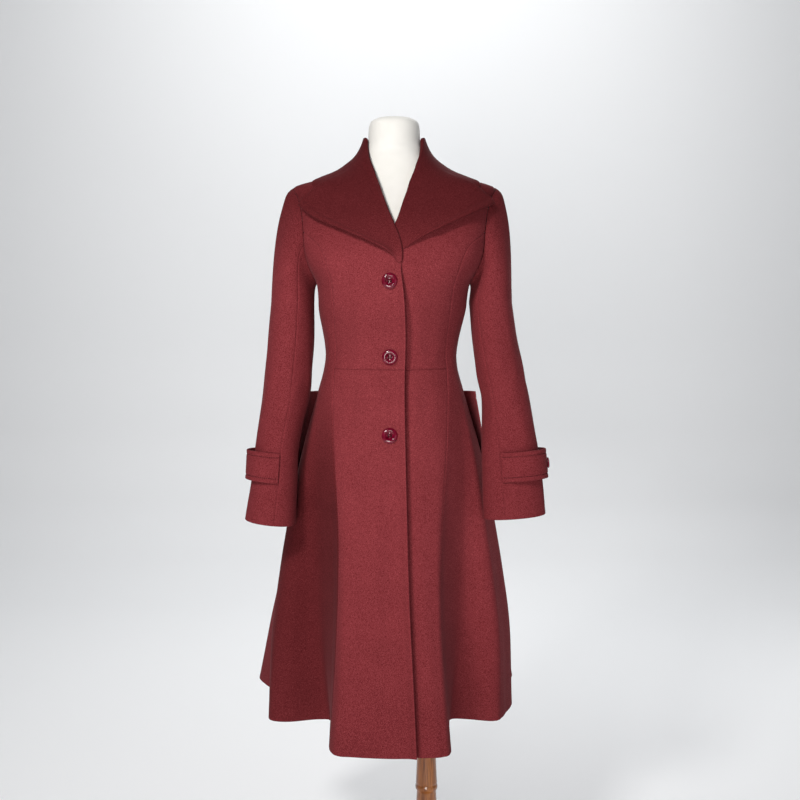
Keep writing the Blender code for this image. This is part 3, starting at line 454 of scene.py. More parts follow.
SLEEVE_LEFT_CREASES = (
    (80.0, 1.110, 60.0, 10.0, 0.130, -0.0014),
    (30.0, 1.045, -320.0, 14.0, 0.040, 0.0024),
    (75.0, 1.010, -360.0, 12.0, 0.036, 0.0024),
    (120.0, 0.985, -260.0, 12.0, 0.034, 0.0022),
    (165.0, 1.020, 220.0, 14.0, 0.036, 0.0026),
    (60.0, 0.945, 200.0, 13.0, 0.044, 0.0018),
    (10.0, 0.950, 140.0, 14.0, 0.050, -0.0016),
    (300.0, 1.030, -240.0, 16.0, 0.050, 0.0022),
    (325.0, 0.955, 150.0, 14.0, 0.060, 0.0018),
    (250.0, 0.940, -160.0, 14.0, 0.070, 0.0018),
    (75.0, 1.230, -170.0, 12.0, 0.050, -0.0014),
    (300.0, 1.235, 170.0, 14.0, 0.060, 0.0018),
    (90.0, 0.815, -70.0, 12.0, 0.040, 0.0010),
    (30.0, 0.812, 60.0, 12.0, 0.040, -0.0010),
)
FRONT_SEAM_RIGHT = 104.0
FRONT_SEAM_LEFT = 120.0
CAP_PUFF = 0.0022
CAP_PUFF_ROW = -0.90
CAP_PUFF_LENGTH = 0.09
CAP_PUFF_START = 0.08
CAP_CALM = 0.25

# Collar: places across, corner, roll and edge
COLLAR_WIDTHS = (0.03, 0.08, 0.15, 0.23, 0.32, 0.41, 0.50, 0.59, 0.68, 0.76, 0.83)
# Bead along the outer edge: distance in from the edge and height above the collar's face
COLLAR_BEAD = (
    (0.0120, 0.0),
    (0.0100, -0.0003),
    (0.0084, -0.0006),
    (0.0070, -0.0003),
    (0.0055, 0.0005),
    (0.0038, 0.0009),
    (0.0022, 0.0009),
    (0.0, 0.0007),
)
COLLAR_BEAD_REACH = 0.110
COLLAR_FRONT_RISE = 0.0060
COLLAR_RISE_POWER = 5
# Over the shoulder the collar lies flatter and thins towards its edge
SHOULDER_ROW = 2.6
SHOULDER_ROWS = 1.5
SHOULDER_THIN = 0.55
SHOULDER_POWER = 3
COLLAR_FADE_ROWS = 2.0
COLLAR_COLUMNS = 150
CORNER_STEPS = np.array((-0.4, -0.2, -0.1, -0.05, 0.0, 0.05, 0.1, 0.2, 0.4))
CORNER_REACH = 0.55
CORNER_FROM_END = 3
CORNER_TRIM = 0.026
CORNER_TRIM_ROWS = 2.6
ROLL_ANGLES = np.linspace(180, 0, 13)
ROLL_ROUND = 0.85
ROLL_SKIN = 0.0020
EDGE_ANGLES = (20, 40, 60, 75, 90)
STAND_TUCK = 0.0020
TIP_THIN = 0.30
TIP_LENGTH = 1.6

# Stitches, pocket detail, and sewing holes as shares of the button's radius
STITCH_INSET = 0.0080
STITCH_GROOVE = 0.0012
STITCH_WIDTH = 0.0015
STITCH_PITCH = 0.0034
STITCH_LENGTH = 0.0026
STITCH_RISE = 0.00015
STITCH_GIRTH = 0.00060
STITCH_SIDES = 6
STITCH_RINGS = ((0.15, 0.7), (0.5, 1.0), (0.85, 0.7))
STITCH_ROWS = np.array((-0.0030, -0.0016, -0.0008, 0.0, 0.0008, 0.0016, 0.0030))
STITCH_ROW_GAP = 0.0005
POCKET_WIDTH = 0.105
POCKET_STITCH = 0.012
BUTTON_HOLE_SPOT = 0.17
BUTTON_HOLE = 0.12
BUTTON_HOLE_DEPTH = 0.10
BUTTON_HOLE_POWER = 4
BUTTON_FACE = 0.1
# Thread on a button: thickness, length over the holes, distance between strands, height
THREAD_GIRTH = 0.05
THREAD_REACH = 1.45
THREAD_STEP = 0.06
THREAD_HEIGHT = 0.20

# Colours, dark to light: place along the noise, colour
WOOL_TONES = (
    (0.30, (0.112, 0.0125, 0.0160)),
    (0.50, (0.205, 0.0290, 0.0350)),
    (0.70, (0.318, 0.0590, 0.0680)),
)
CLOUD_TONES = ((0.30, (0.95, 0.94, 0.94)), (0.70, (1.04, 1.05, 1.05)))
HORN_TONES = ((0.3, (0.105, 0.0006, 0.010)), (0.7, (0.190, 0.0016, 0.022)))
JERSEY_TONES = ((0.3, (0.77, 0.757, 0.715)), (0.7, (0.82, 0.806, 0.768)))
WOOD_TONES = ((0.32, (0.200, 0.055, 0.010)), (0.55, (0.360, 0.118, 0.024)), (0.75, (0.470, 0.180, 0.045)))
PORE_TONES = ((0.35, (0.62, 0.58, 0.55)), (0.55, (1.0, 1.0, 1.0)))
# Thread tones: the thread's own dark colour, made near black so that the strap stitches also paint the shade
# of their grooves
THREAD_AND_GROOVE_SHADE_TONES = ((0.3, (0.030, 0.004, 0.005)), (0.7, (0.060, 0.009, 0.011)))
SHEEN_TINT = (0.90, 0.36, 0.40, 1.0)
# Noises: scale, detail, stretch
EVEN = (1.0, 1.0, 1.0)
NAP_NOISE = (1000.0, 3.0, (1.0, 1.0, 0.6))
CLOUD_NOISE = (16.0, 2.0, EVEN)
FIBRE_NOISE = (2400.0, 2.0, (1.0, 1.0, 0.35))
SWIRL_NOISE = (120.0, 3.0, (1.0, 1.0, 2.0))
KNIT_NOISE = (1100.0, 2.0, (1.0, 1.0, 0.5))
JERSEY_NOISE = (22.0, 2.0, EVEN)
GRAIN_NOISE = (60.0, 6.0, (1.0, 1.0, 0.06))
PORE_NOISE = (420.0, 3.0, (1.0, 1.0, 0.05))
TWIST_NOISE = (2600.0, 1.0, EVEN)
# Bumps: strength, depth
NAP_BUMP = (0.30, 0.0005)
FIBRE_BUMP = (0.20, 0.0002)
KNIT_BUMP = (0.25, 0.0003)
PORE_BUMP = (0.15, 0.0004)
# Painted shade by height, darker where less light falls: height and shade for most of the cloth, the collar,
# the right side front and the sleeves
BODY_PAINTED_SHADES = ((0.40, 0.74), (0.60, 0.88), (0.90, 1.0), (1.24, 1.0), (1.30, 0.80), (1.36, 0.52))
COLLAR_PAINTED_SHADES = ((1.235, 1.0), (1.262, 0.62), (1.330, 0.43), (1.380, 0.39), (1.460, 0.36))
SIDE_PAINTED_SHADES = ((0.40, 0.56), (0.80, 0.46), (0.88, 0.58), (0.99, 0.94))
SLEEVE_PAINTED_SHADES = ((0.74, 0.80), (0.95, 0.84), (1.22, 0.92), (1.36, 0.48))
# Heights that the painted shade spans, and how much redder the painted shade turns where it is darker
PAINTED_SHADE_RANGE = (0.40, 1.50)
PAINTED_SHADE_DEPTH = 1.25
FLOOR_COLOUR = (0.86, 0.87, 0.88, 1.0)
WORLD_COLOUR = (0.80, 0.86, 0.95, 1.0)
WORLD_STRENGTH = 0.11

# Stage: half width, and profile of the floor and backdrop as y, z
STAGE_HALF = 6.0
STAGE_PROFILE = ((-6.0, 0.0), (2.2, 0.0), (2.7, 0.06), (3.1, 0.24), (3.35, 0.55), (3.45, 1.0), (3.45, 5.0))
# Lights: name, place, aim, size, power, colour
LIGHTS = (
    ("key", (-0.35, -3.0, 0.80), (-0.07, 0.0, 1.0), 0.8, 39.0, (1.0, 0.97, 0.94)),
    ("upper", (-1.05, -2.0, 2.65), (-0.07, 0.0, 1.0), 0.45, 46.0, (1.0, 0.98, 0.96)),
    ("fill", (1.9, -2.2, 1.2), (-0.07, 0.0, 0.8), 1.4, 6.0, (0.96, 0.97, 1.0)),
    ("rim", (0.9, 1.9, 2.4), (-0.07, 0.0, 1.0), 1.2, 22.0, (1.0, 1.0, 1.0)),
    ("backdrop", (0.0, 1.4, 3.4), (0.0, 3.4, 1.0), 2.4, 60.0, (1.0, 1.0, 1.0)),
)

CAMERA_PLACE = (COAT_X + 0.017, -2.1, 1.1686)
CAMERA_PITCH = 85.0
CAMERA_LENS = 50.625
CAMERA_SENSOR = 36.0


def through(knots, rows, at):
    """Smooth curve through table rows at rising knots, as cubic pieces."""
    knots = np.asarray(knots, float)
    at = np.clip(np.asarray(at, float), knots[0], knots[-1])
    slopes = np.gradient(rows, knots, axis=0)
    low = np.clip(np.searchsorted(knots, at, side="right") - 1, 0, len(knots) - 2)
    span = (knots[low + 1] - knots[low])[..., None]
    t = (at - knots[low])[..., None] / span
    start = rows[low] * (1 + 2 * t) + slopes[low] * span * t
    stop = rows[low + 1] * (3 - 2 * t) - slopes[low + 1] * span * (1 - t)
    return start * (1 - t) ** 2 + stop * t ** 2


RING_STEPS = np.arange(len(BODY_RINGS))
LEVELS = np.linspace(0, len(BODY_RINGS) - 1, LEVEL_COUNT)
LEVEL_Z = through(RING_STEPS, BODY_RINGS, LEVELS)[:, 0]


def level_at(z):
    """Place between the rows of BODY_RINGS that lies at a height."""
    return np.interp(z, LEVEL_Z, LEVELS)


def oval_reach(degrees, half, front, back, square):
    """Distance from the axis to a squared oval, in a direction from the front."""
    across = np.abs(np.sin(np.radians(degrees)))
    along = np.cos(np.radians(degrees))
    depth = np.where(along >= 0, front, back)
    return ((across / half) ** square + (np.abs(along) / depth) ** square) ** (-1 / square)


def body(turn, level):
    """Point of the coat's outer surface, in the coat's own frame."""
    turn, level = np.broadcast_arrays(np.asarray(turn, float), np.asarray(level, float))
    z, centre_x, half, front, back, square = np.moveaxis(through(RING_STEPS, BODY_RINGS, level), -1, 0)
    around = (turn + 180.0) % 360.0 - 180.0
    hem_turn, hem_reach = np.moveaxis(through(FOLDS[:, 0], FOLDS[:, 1:], around), -1, 0)
    drop = np.clip((WAIST_Z - z) / (WAIST_Z - HEM_Z), 0, 1)
    direction = around + (hem_turn - around) * (1 - (1 - drop) ** ANGLE_GROWTH)
    reach = oval_reach(direction, half, front, back, square)
    reach = reach + (hem_reach - oval_reach(hem_turn, *BODY_RINGS[0, 2:])) * drop ** FOLD_GROWTH
    x = centre_x + reach * np.sin(np.radians(direction))
    y = -reach * np.cos(np.radians(direction))
    return np.stack((x, y, z), axis=-1)


def unit(vectors):
    """Vectors scaled to length 1."""
    return vectors / np.linalg.norm(vectors, axis=-1, keepdims=True)


def body_normal(turn, level):
    """Outward direction of the coat's surface."""
    turn, level = np.broadcast_arrays(np.asarray(turn, float), np.asarray(level, float))
    around = body(turn + TURN_STEP, level) - body(turn - TURN_STEP, level)
    up = body(turn, level + LEVEL_STEP) - body(turn, level - LEVEL_STEP)
    return unit(np.cross(around, up))


def creases(table, turn, z):
    """Height of the soft creases of a table at a place."""
    around = np.asarray(turn, float)
    total = np.zeros(np.broadcast(around, z).shape)
    for centre, height, lean, width, length, rise in table:
        off = (around - centre - lean * (z - height) + 180.0) % 360.0 - 180.0
        total = total + rise * np.exp(-(off / width) ** 2 - ((z - height) / length) ** 2)
    return total


def ripple(turn, z):
    """Slight unevenness of hanging cloth."""
    total = np.zeros(np.broadcast(turn, z).shape)
    for turns_round, per_metre, phase, rise in RIPPLES:
        total = total + rise * np.sin(np.radians(turn) * turns_round + z * per_metre + phase)
    return total


def skin(turn, level, lift):
    """Point of the coat's creased surface moved out by lift."""
    points = body(turn, level)
    z = points[..., 2]
    calm = np.clip((NECK_SEAM_Z - z) / CALM_RANGE, 0, 1)
    shift = (creases(BODY_CREASES, turn, z) + ripple(turn, z)) * calm
    return points + body_normal(turn, level) * (np.asarray(lift) + shift)[..., None]


def solve(function, low, high):
    """Where rising functions cross zero."""
    for _ in range(SEARCH_STEPS):
        middle = (low + high) / 2
        below = function(middle) < 0
        low = np.where(below, middle, low)
        high = np.where(below, high, middle)
    return (low + high) / 2


def turn_at_x(x, z):
    """Turn of the front point that lies at x on the section at z."""
    x, z = np.broadcast_arrays(np.asarray(x, float), np.asarray(z, float))
    level = level_at(z)
    low, high = FRONT_TURNS
    return solve(lambda turn: body(turn, level)[..., 0] - x, np.full(z.shape, low), np.full(z.shape, high))


def armhole_turn(z, front):
    """Turn of the armhole's front or back edge, on the wearer's left."""
    z = np.asarray(z, float)
    rise = np.clip((z - ARMHOLE_MID_Z) / ARMHOLE_RISE, -1.0, 1.0)
    reach = -ARMHOLE_FRONT if front else ARMHOLE_BACK
    y = ARMHOLE_Y + reach * np.sqrt(1 - rise * rise)
    level = level_at(z)
    low, high = ARMHOLE_TURNS
    return solve(lambda turn: body(turn, level)[..., 1] - y, np.full(z.shape, low), np.full(z.shape, high))


def table_value(table, z):
    """Second column of a two-column table at a height."""
    return through(table[:, 0], table[:, 1:], z)[..., 0]


def princess_table(rows, front):
    """Seam turns by height, ended just short of the armhole."""
    tip = float(armhole_turn(SEAM_TOP_Z, front)) + (-SEAM_TIP if front else SEAM_TIP)
    return np.array((*rows, (SEAM_TOP_Z, tip)))


FRONT_SEAM = princess_table(FRONT_PRINCESS, True)
BACK_SEAM = princess_table(BACK_PRINCESS, False)


def front_seam(z):
    """Turn of the front princess seam, on the wearer's left."""
    return table_value(FRONT_SEAM, z)


def back_seam(z):
    """Turn of the back princess seam, on the wearer's left."""
    return table_value(BACK_SEAM, z)


def front_limit(z):
    """Outer limit of the centre front: princess seam, then armhole, then shoulder seam."""
    above = np.where(z < SHOULDER_Z, armhole_turn(z, True), SIDE_TURN)
    return np.where(z <= SEAM_TOP_Z, front_seam(z), above)


def back_limit(z):
    """Outer limit of the centre back."""
    above = np.where(z < SHOULDER_Z, armhole_turn(z, False), SIDE_TURN)
    return np.where(z <= SEAM_TOP_Z, back_seam(z), above)


def front_side(z):
    """Side seam of a side front, then its armhole edge."""
    return np.where(z <= UNDERARM_Z, SIDE_TURN, armhole_turn(z, True))


def back_side(z):
    """Side seam of a side back, then its armhole edge."""
    return np.where(z <= UNDERARM_Z, SIDE_TURN, armhole_turn(z, False))


def steady(turn):
    """Border that keeps one turn all the way up."""
    return lambda z: np.full(z.shape, turn)


def mirrored(border):
    """The same border on the wearer's right."""
    return lambda z: -border(z)


def right_edge(z):
    """Turn of the right front's free edge, which runs into the roll line."""
    return turn_at_x(front_edge_x(z), z)


def left_edge(z):
    """Turn of the left front's edge, which lies under the right front."""
    x = np.where(z < BREAK_Z, UNDERLAP_X, NECK_X + table_value(ROLL_LINE, z))
    return turn_at_x(x, z)


def overlap_lift(turn):
    """Height of the right front over the left one near the centre."""
    low, high = OVERLAP_FADE
    share = np.clip((np.asarray(turn, float) - low) / (high - low), 0, 1)
    return OVERLAP_LIFT * share * share * (3 - 2 * share)


def front_edge_x(z):
    """Place of the right front's free edge across the coat."""
    return np.where(z < BREAK_Z, table_value(FRONT_EDGE, z), NECK_X - table_value(ROLL_LINE, z))


def near_edge(x, z, width):
    """1 at the right front's free edge, falling away on both sides of it and up to the collar's break."""
    fade = np.clip((BREAK_Z - z) / EDGE_STAND_FADE, 0, 1)
    return fade * np.exp(-((x - front_edge_x(z)) / width) ** 2)


def spread(widths, count):
    """Places across each width, close together near both borders, as distances from the start."""
    widths = np.atleast_1d(widths)[:, None]
    steps = np.minimum(EDGE_STEPS, widths * EDGE_SHARE * EDGE_STEPS / EDGE_STEPS[-1])
    middle = steps[:, -1:] + (widths - 2 * steps[:, -1:]) * np.linspace(0, 1, count)[1:-1]
    return np.concatenate((steps, middle, widths - steps[:, ::-1]), axis=1)


def border_drop(distance, kind, thick):
    """How far the outer and inner faces draw together at a border, at a distance from it."""
    if kind == "free":
        half = thick / 2
        near = np.clip(half - distance, 0, half)
        drop = half - np.sqrt(half * half - near * near)
        return drop, drop
    dip = WAIST_DIP if kind == "waist" else SEAM_DIP
    drop = dip * (1 - np.clip(distance / SEAM_ROLL, 0, 1)) ** 2
    return drop, np.zeros_like(drop)


def draw_in(lift, distances, borders):
    """Heights of a sewn piece's outer and inner faces, drawn together at its borders."""
    outer = lift
    inner = lift - CLOTH
    for distance, kind in zip(distances, borders):
        outer_drop, inner_drop = border_drop(distance, kind, CLOTH)
        outer = outer - outer_drop
        inner = inner + inner_drop
    return outer, inner


def round_off(lift, thick, distances):
    """Heights of a loose piece's outer and inner faces, with a round edge on all sides."""
    outer = lift + thick
    inner = lift
    for distance in distances:
        outer_drop, inner_drop = border_drop(distance, "free", thick)
        outer = np.minimum(outer, lift + thick - outer_drop)
        inner = np.maximum(inner, lift + inner_drop)
    return outer, inner


def press_stitches(outer, places, lines):
    """Heights with a groove along each line of stitches."""
    for line in lines:
        outer = outer - STITCH_GROOVE * np.exp(-((places[:, None] - line) / STITCH_WIDTH) ** 2)
    return outer


def steps_of(points, axis):
    """Distances between neighbours in a grid of points."""
    return np.linalg.norm(np.diff(points, axis=axis), axis=-1)


def running(steps):
    """Distance of each place from the first one, from the steps between them."""
    return np.concatenate((np.zeros((*steps.shape[:-1], 1)), np.cumsum(steps, axis=-1)), axis=-1)


def grid_faces(rows, columns, offset, flip):
    """Quads of a grid of points."""
    corner = (np.arange(rows - 1)[:, None] * columns + np.arange(columns - 1)[None, :]).ravel() + offset
    quads = np.stack((corner, corner + 1, corner + columns + 1, corner + columns), axis=1)
    return quads[:, ::-1] if flip else quads


def rim_indices(rows, columns):
    """Grid points round the border, in order."""
    bottom = list(range(columns))
    right = [row * columns + columns - 1 for row in range(1, rows)]
    top = [(rows - 1) * columns + column for column in range(columns - 2, -1, -1)]
    left = [row * columns for row in range(rows - 2, 0, -1)]
    return np.array(bottom + right + top + left)


def add_object(name, data):
    """Object in the scene."""
    made = bpy.data.objects.new(name, data)
    bpy.context.scene.collection.objects.link(made)
    return made


def add_piece(name, mesh, look, node):
    """Shown piece that stands for a node of the frame."""
    piece = add_object(name, mesh)
    mesh.materials.append(look)
    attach(piece, "root")
    if node:
        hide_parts(node)
    return piece


def smooth_mesh(shape, name):
    """Mesh of a closed shape, smooth but for its sharp edges."""
    bmesh.ops.recalc_face_normals(shape, faces=shape.faces)
    mesh = bpy.data.meshes.new(name)
    shape.to_mesh(mesh)
    shape.free()
    mesh.shade_smooth()
    mesh.set_sharp_from_angle(angle=SHARP_ANGLE)
    return mesh


def shell(node, outer, inner, look):
    """Thin closed shell of cloth between two grids of points, in the coat's own frame."""
    rows, columns = outer.shape[:2]
    count = rows * columns
    rim = rim_indices(rows, columns)
    after = np.roll(rim, -1)
    quads = np.concatenate((
        grid_faces(rows, columns, 0, False),
        grid_faces(rows, columns, count, True),
        np.stack((rim, rim + count, after + count, after), axis=1),
    ))
    points = np.concatenate((outer.reshape(-1, 3), inner.reshape(-1, 3))) + (COAT_X, 0.0, 0.0)
    mesh = bpy.data.meshes.new(node + "_cloth")
    mesh.from_pydata(points.tolist(), [], quads.tolist())
    sewn = bmesh.new()
    sewn.from_mesh(mesh)
    bmesh.ops.remove_doubles(sewn, verts=sewn.verts, dist=WELD)
    if sewn.calc_volume(signed=True) < 0:
        bmesh.ops.reverse_faces(sewn, faces=sewn.faces)
    sewn.to_mesh(mesh)
    sewn.free()
    mesh.shade_smooth()
    mesh.set_sharp_from_angle(angle=SHARP_ANGLE)
    return add_piece(node + "_cloth", mesh, look, node)


def lengths(points, axis):
    """Length of each line of a grid along an axis."""
    return steps_of(points, axis).sum(axis=axis)


def panel(node, low, high, counts, start, stop, borders, look, front=""):
    """Panel of the coat between two seams.

    borders names the kind of its start, stop, low and high borders. front tells the fronts that lie over and
    under each other from the other panels.
    """
    rows, columns = counts
    gap = SEAM_GAP / 2
    heights = low + WAIST_GAP / 2 + spread(high - low - WAIST_GAP, rows)[0]
    levels = level_at(heights)
    first = start(heights)
    last = stop(heights)
    fine = first[:, None] + (last - first)[:, None] * np.linspace(0, 1, FINE)
    along = running(steps_of(body(fine, levels[:, None]), 1))
    places = gap + spread(along[:, -1] - 2 * gap, columns)
    turns = np.array([np.interp(place, line, row) for place, line, row in zip(places, along, fine)])
    grid_levels = np.broadcast_to(levels[:, None], turns.shape)
    points = body(turns, grid_levels)
    from_low = running(steps_of(points, 0).mean(axis=1))[:, None]
    distances = (places - gap, along[:, -1:] - gap - places, from_low, from_low[-1] - from_low)
    across = points[..., 0]
    up = np.broadcast_to(heights[:, None], turns.shape)
    lift = np.zeros_like(turns)
    if front == "over":
        lift = overlap_lift(turns) + EDGE_STAND * near_edge(across, up, EDGE_STAND_WIDTH)
    elif front == "under":
        lift = -EDGE_TUCK * near_edge(across, up, EDGE_TUCK_WIDTH)
    outer_lift, inner_lift = draw_in(lift, distances, borders)
    outer = skin(turns, grid_levels, outer_lift)
    piece = shell(node, outer, skin(turns, grid_levels, inner_lift), look)


def make_body():
    """Fronts, side panels and backs."""
    seam, free, waist = "seam", "free", "waist"
    sewn = (seam, seam, free, seam)
    skirt = (HEM_Z, WAIST_Z, SKIRT_GRID)
    bodice = (WAIST_Z, NECK_SEAM_Z, BODICE_GRID)
    side = (HEM_Z, SEAM_TOP_Z, SIDE_GRID)
    back = (HEM_Z, NECK_SEAM_Z, BACK_GRID)
    princess = steady(PRINCESS_TURN)
    middle = steady(BACK_TURN)
    panel("skirt_front_right", *skirt, mirrored(princess), right_edge,
          (seam, free, free, waist), wool, "over")
    panel("skirt_front_left", *skirt, left_edge, princess, (free, seam, free, waist), wool, "under")
    panel("bodice_front_right", *bodice, mirrored(front_limit), right_edge,
          (seam, free, waist, seam), wool, "over")
    panel("bodice_front_left", *bodice, left_edge, front_limit, (free, seam, waist, seam), wool, "under")
    # The right side front is given painted shadow, darkest below the waist
    panel("side_front_right", *side, mirrored(front_side), mirrored(front_seam), sewn, wool_side_painted_shade)
    panel("side_front_left", *side, front_seam, front_side, sewn, wool)
    panel("side_back_right", *side, mirrored(back_seam), mirrored(back_side), sewn, wool)
    panel("side_back_left", *side, back_side, back_seam, sewn, wool)
    panel("back_right", *back, mirrored(middle), mirrored(back_limit), sewn, wool)
    panel("back_left", *back, back_limit, middle, sewn, wool)


def collar_tracks(front_rows, side):
    """Roll line and outer edge of a collar half, as turns and levels."""
    roll = []
    edge = []
    for roll_z, edge_x, edge_z in front_rows:
        roll.append((turn_at_x(NECK_X + side * table_value(ROLL_LINE, roll_z), roll_z), level_at(roll_z)))
        edge.append((turn_at_x(CHEST_X + side * edge_x, edge_z), level_at(edge_z)))
    for roll_turn, roll_z, edge_turn, edge_z in COLLAR_BACK:
        roll.append((side * roll_turn, level_at(roll_z)))
        edge.append((side * edge_turn, level_at(edge_z)))
    return np.array(roll, float), np.array(edge, float)


def make_collar(node, front_rows, side):
    """Half of the turned-over collar, from its round roll to its round outer edge."""
    roll, edge = collar_tracks(front_rows, side)
    stations = np.arange(len(roll))
    corner = len(front_rows) - CORNER_FROM_END
    even_columns = np.linspace(0, stations[-1], COLLAR_COLUMNS)
    columns = np.unique(np.concatenate((even_columns, corner + CORNER_STEPS)))
    roll_line = through(stations, roll, columns)
    smooth = through(stations, edge, columns)
    straight = np.stack([np.interp(columns, stations, edge[:, axis]) for axis in range(2)], axis=-1)
    point = np.exp(-((columns - corner) / CORNER_REACH) ** 2)[:, None]
    edge_line = smooth + (straight - smooth) * point
    degree = np.linalg.norm(body(BACK_TURN + 1, roll[-1, 1]) - body(BACK_TURN, roll[-1, 1]))
    middle_gap = side * SEAM_GAP / 2 / degree
    roll_line[-1, 0] -= middle_gap
    edge_line[-1, 0] -= middle_gap
    trim = CORNER_TRIM * np.exp(-((columns - corner) / CORNER_TRIM_ROWS) ** 2)[:, None]
    edge_line = edge_line + (roll_line - edge_line) * trim
    reach = np.linalg.norm(body(*edge_line.T) - body(*roll_line.T), axis=-1)
    fade = np.clip((columns - corner) / COLLAR_FADE_ROWS, 0, 1)
    edge_lift = COLLAR_EDGE_LIFT + (COLLAR_BACK_LIFT - COLLAR_EDGE_LIFT) * fade
    from_tip = np.clip(columns / TIP_LENGTH, 0, 1)
    thick = COLLAR_CLOTH * (TIP_THIN + (1 - TIP_THIN) * from_tip)
    edge_lift = edge_lift * from_tip
    front_rise = COLLAR_FRONT_RISE * (1 - fade) * from_tip
    shoulder = np.exp(-((columns - corner - SHOULDER_ROW) / SHOULDER_ROWS) ** 2)
    bead_reach = np.minimum(1.0, reach / COLLAR_BEAD_REACH)
    bead_share = bead_reach * (1 - shoulder)

    def rest_at(width, turns, levels):
        """Height of the collar's under face above the coat."""
        bend = np.exp(-((body(turns, levels)[..., 2] - COLLAR_BEND[0]) / COLLAR_BEND[1]) ** 2)
        rest = COLLAR_REST + edge_lift * width ** 2 + front_rise * width ** COLLAR_RISE_POWER
        rest = rest + COLLAR_BEND_LIFT * bend
        return rest + overlap_lift(turns) if side < 0 else rest

    def row(width, lift, out):
        """Line of points along the collar, at a share of the way from the roll to the edge."""
        line = roll_line + (edge_line - roll_line) * (width - out / reach)[:, None]
        turns, levels = line.T
        return skin(turns, levels, rest_at(np.maximum(width, 0.0), turns, levels) + lift)

    def face(width):
        """Thickness at a share of the width, less over the shoulder."""
        return thick * (1 - SHOULDER_THIN * shoulder * width ** SHOULDER_POWER)

    fold = (thick + COLLAR_REST + CLOTH) / 2
    inner_fold = fold - ROLL_SKIN
    none = np.zeros_like(reach)
    full = np.ones_like(reach)
    outer = []
    inner = []
    for angle in np.radians(ROLL_ANGLES):
        out = ROLL_ROUND * np.sin(angle)
        outer.append(row(none, thick - fold * (1 - np.cos(angle)), fold * out))
        inner.append(row(none, thick - fold + inner_fold * np.cos(angle), inner_fold * out))
    for width in COLLAR_WIDTHS:
        outer.append(row(full * width, face(width), 0.0))
        inner.append(row(full * width, 0.0, 0.0))
    for distance, height in COLLAR_BEAD:
        width = 1 - distance * bead_reach / reach
        outer.append(row(width, face(width) + height * bead_share, 0.0))
        inner.append(row(width, 0.0, 0.0))
    half = (face(full) + COLLAR_BEAD[-1][1] * bead_share) / 2
    for angle in np.radians(EDGE_ANGLES):
        out = -half * np.sin(angle)
        outer.append(row(full, half + half * np.cos(angle), out))
        inner.append(row(full, half - half * np.cos(angle), out))
    outer = np.array(outer)
    piece = shell(node, outer, np.array(inner), wool_collar_painted_shade)


def make_stand():
    """Band that carries the collar, from one roll line round the back to the other."""
    rows, columns = STAND_GRID
    outer = []
    inner = []
    for z in np.linspace(NECK_SEAM_Z + LIE_GAP, ROLL_TOP_Z - STAND_TUCK, rows):
        turns = np.linspace(float(left_edge(z)), 360.0 + float(right_edge(z)), columns)
        level = level_at(z)
        outer.append(skin(turns, level, np.zeros_like(turns)))
        inner.append(skin(turns, level, np.full_like(turns, -CLOTH)))
    outer = np.array(outer)
    piece = shell("collar_stand", outer, np.array(inner), wool_collar_painted_shade)


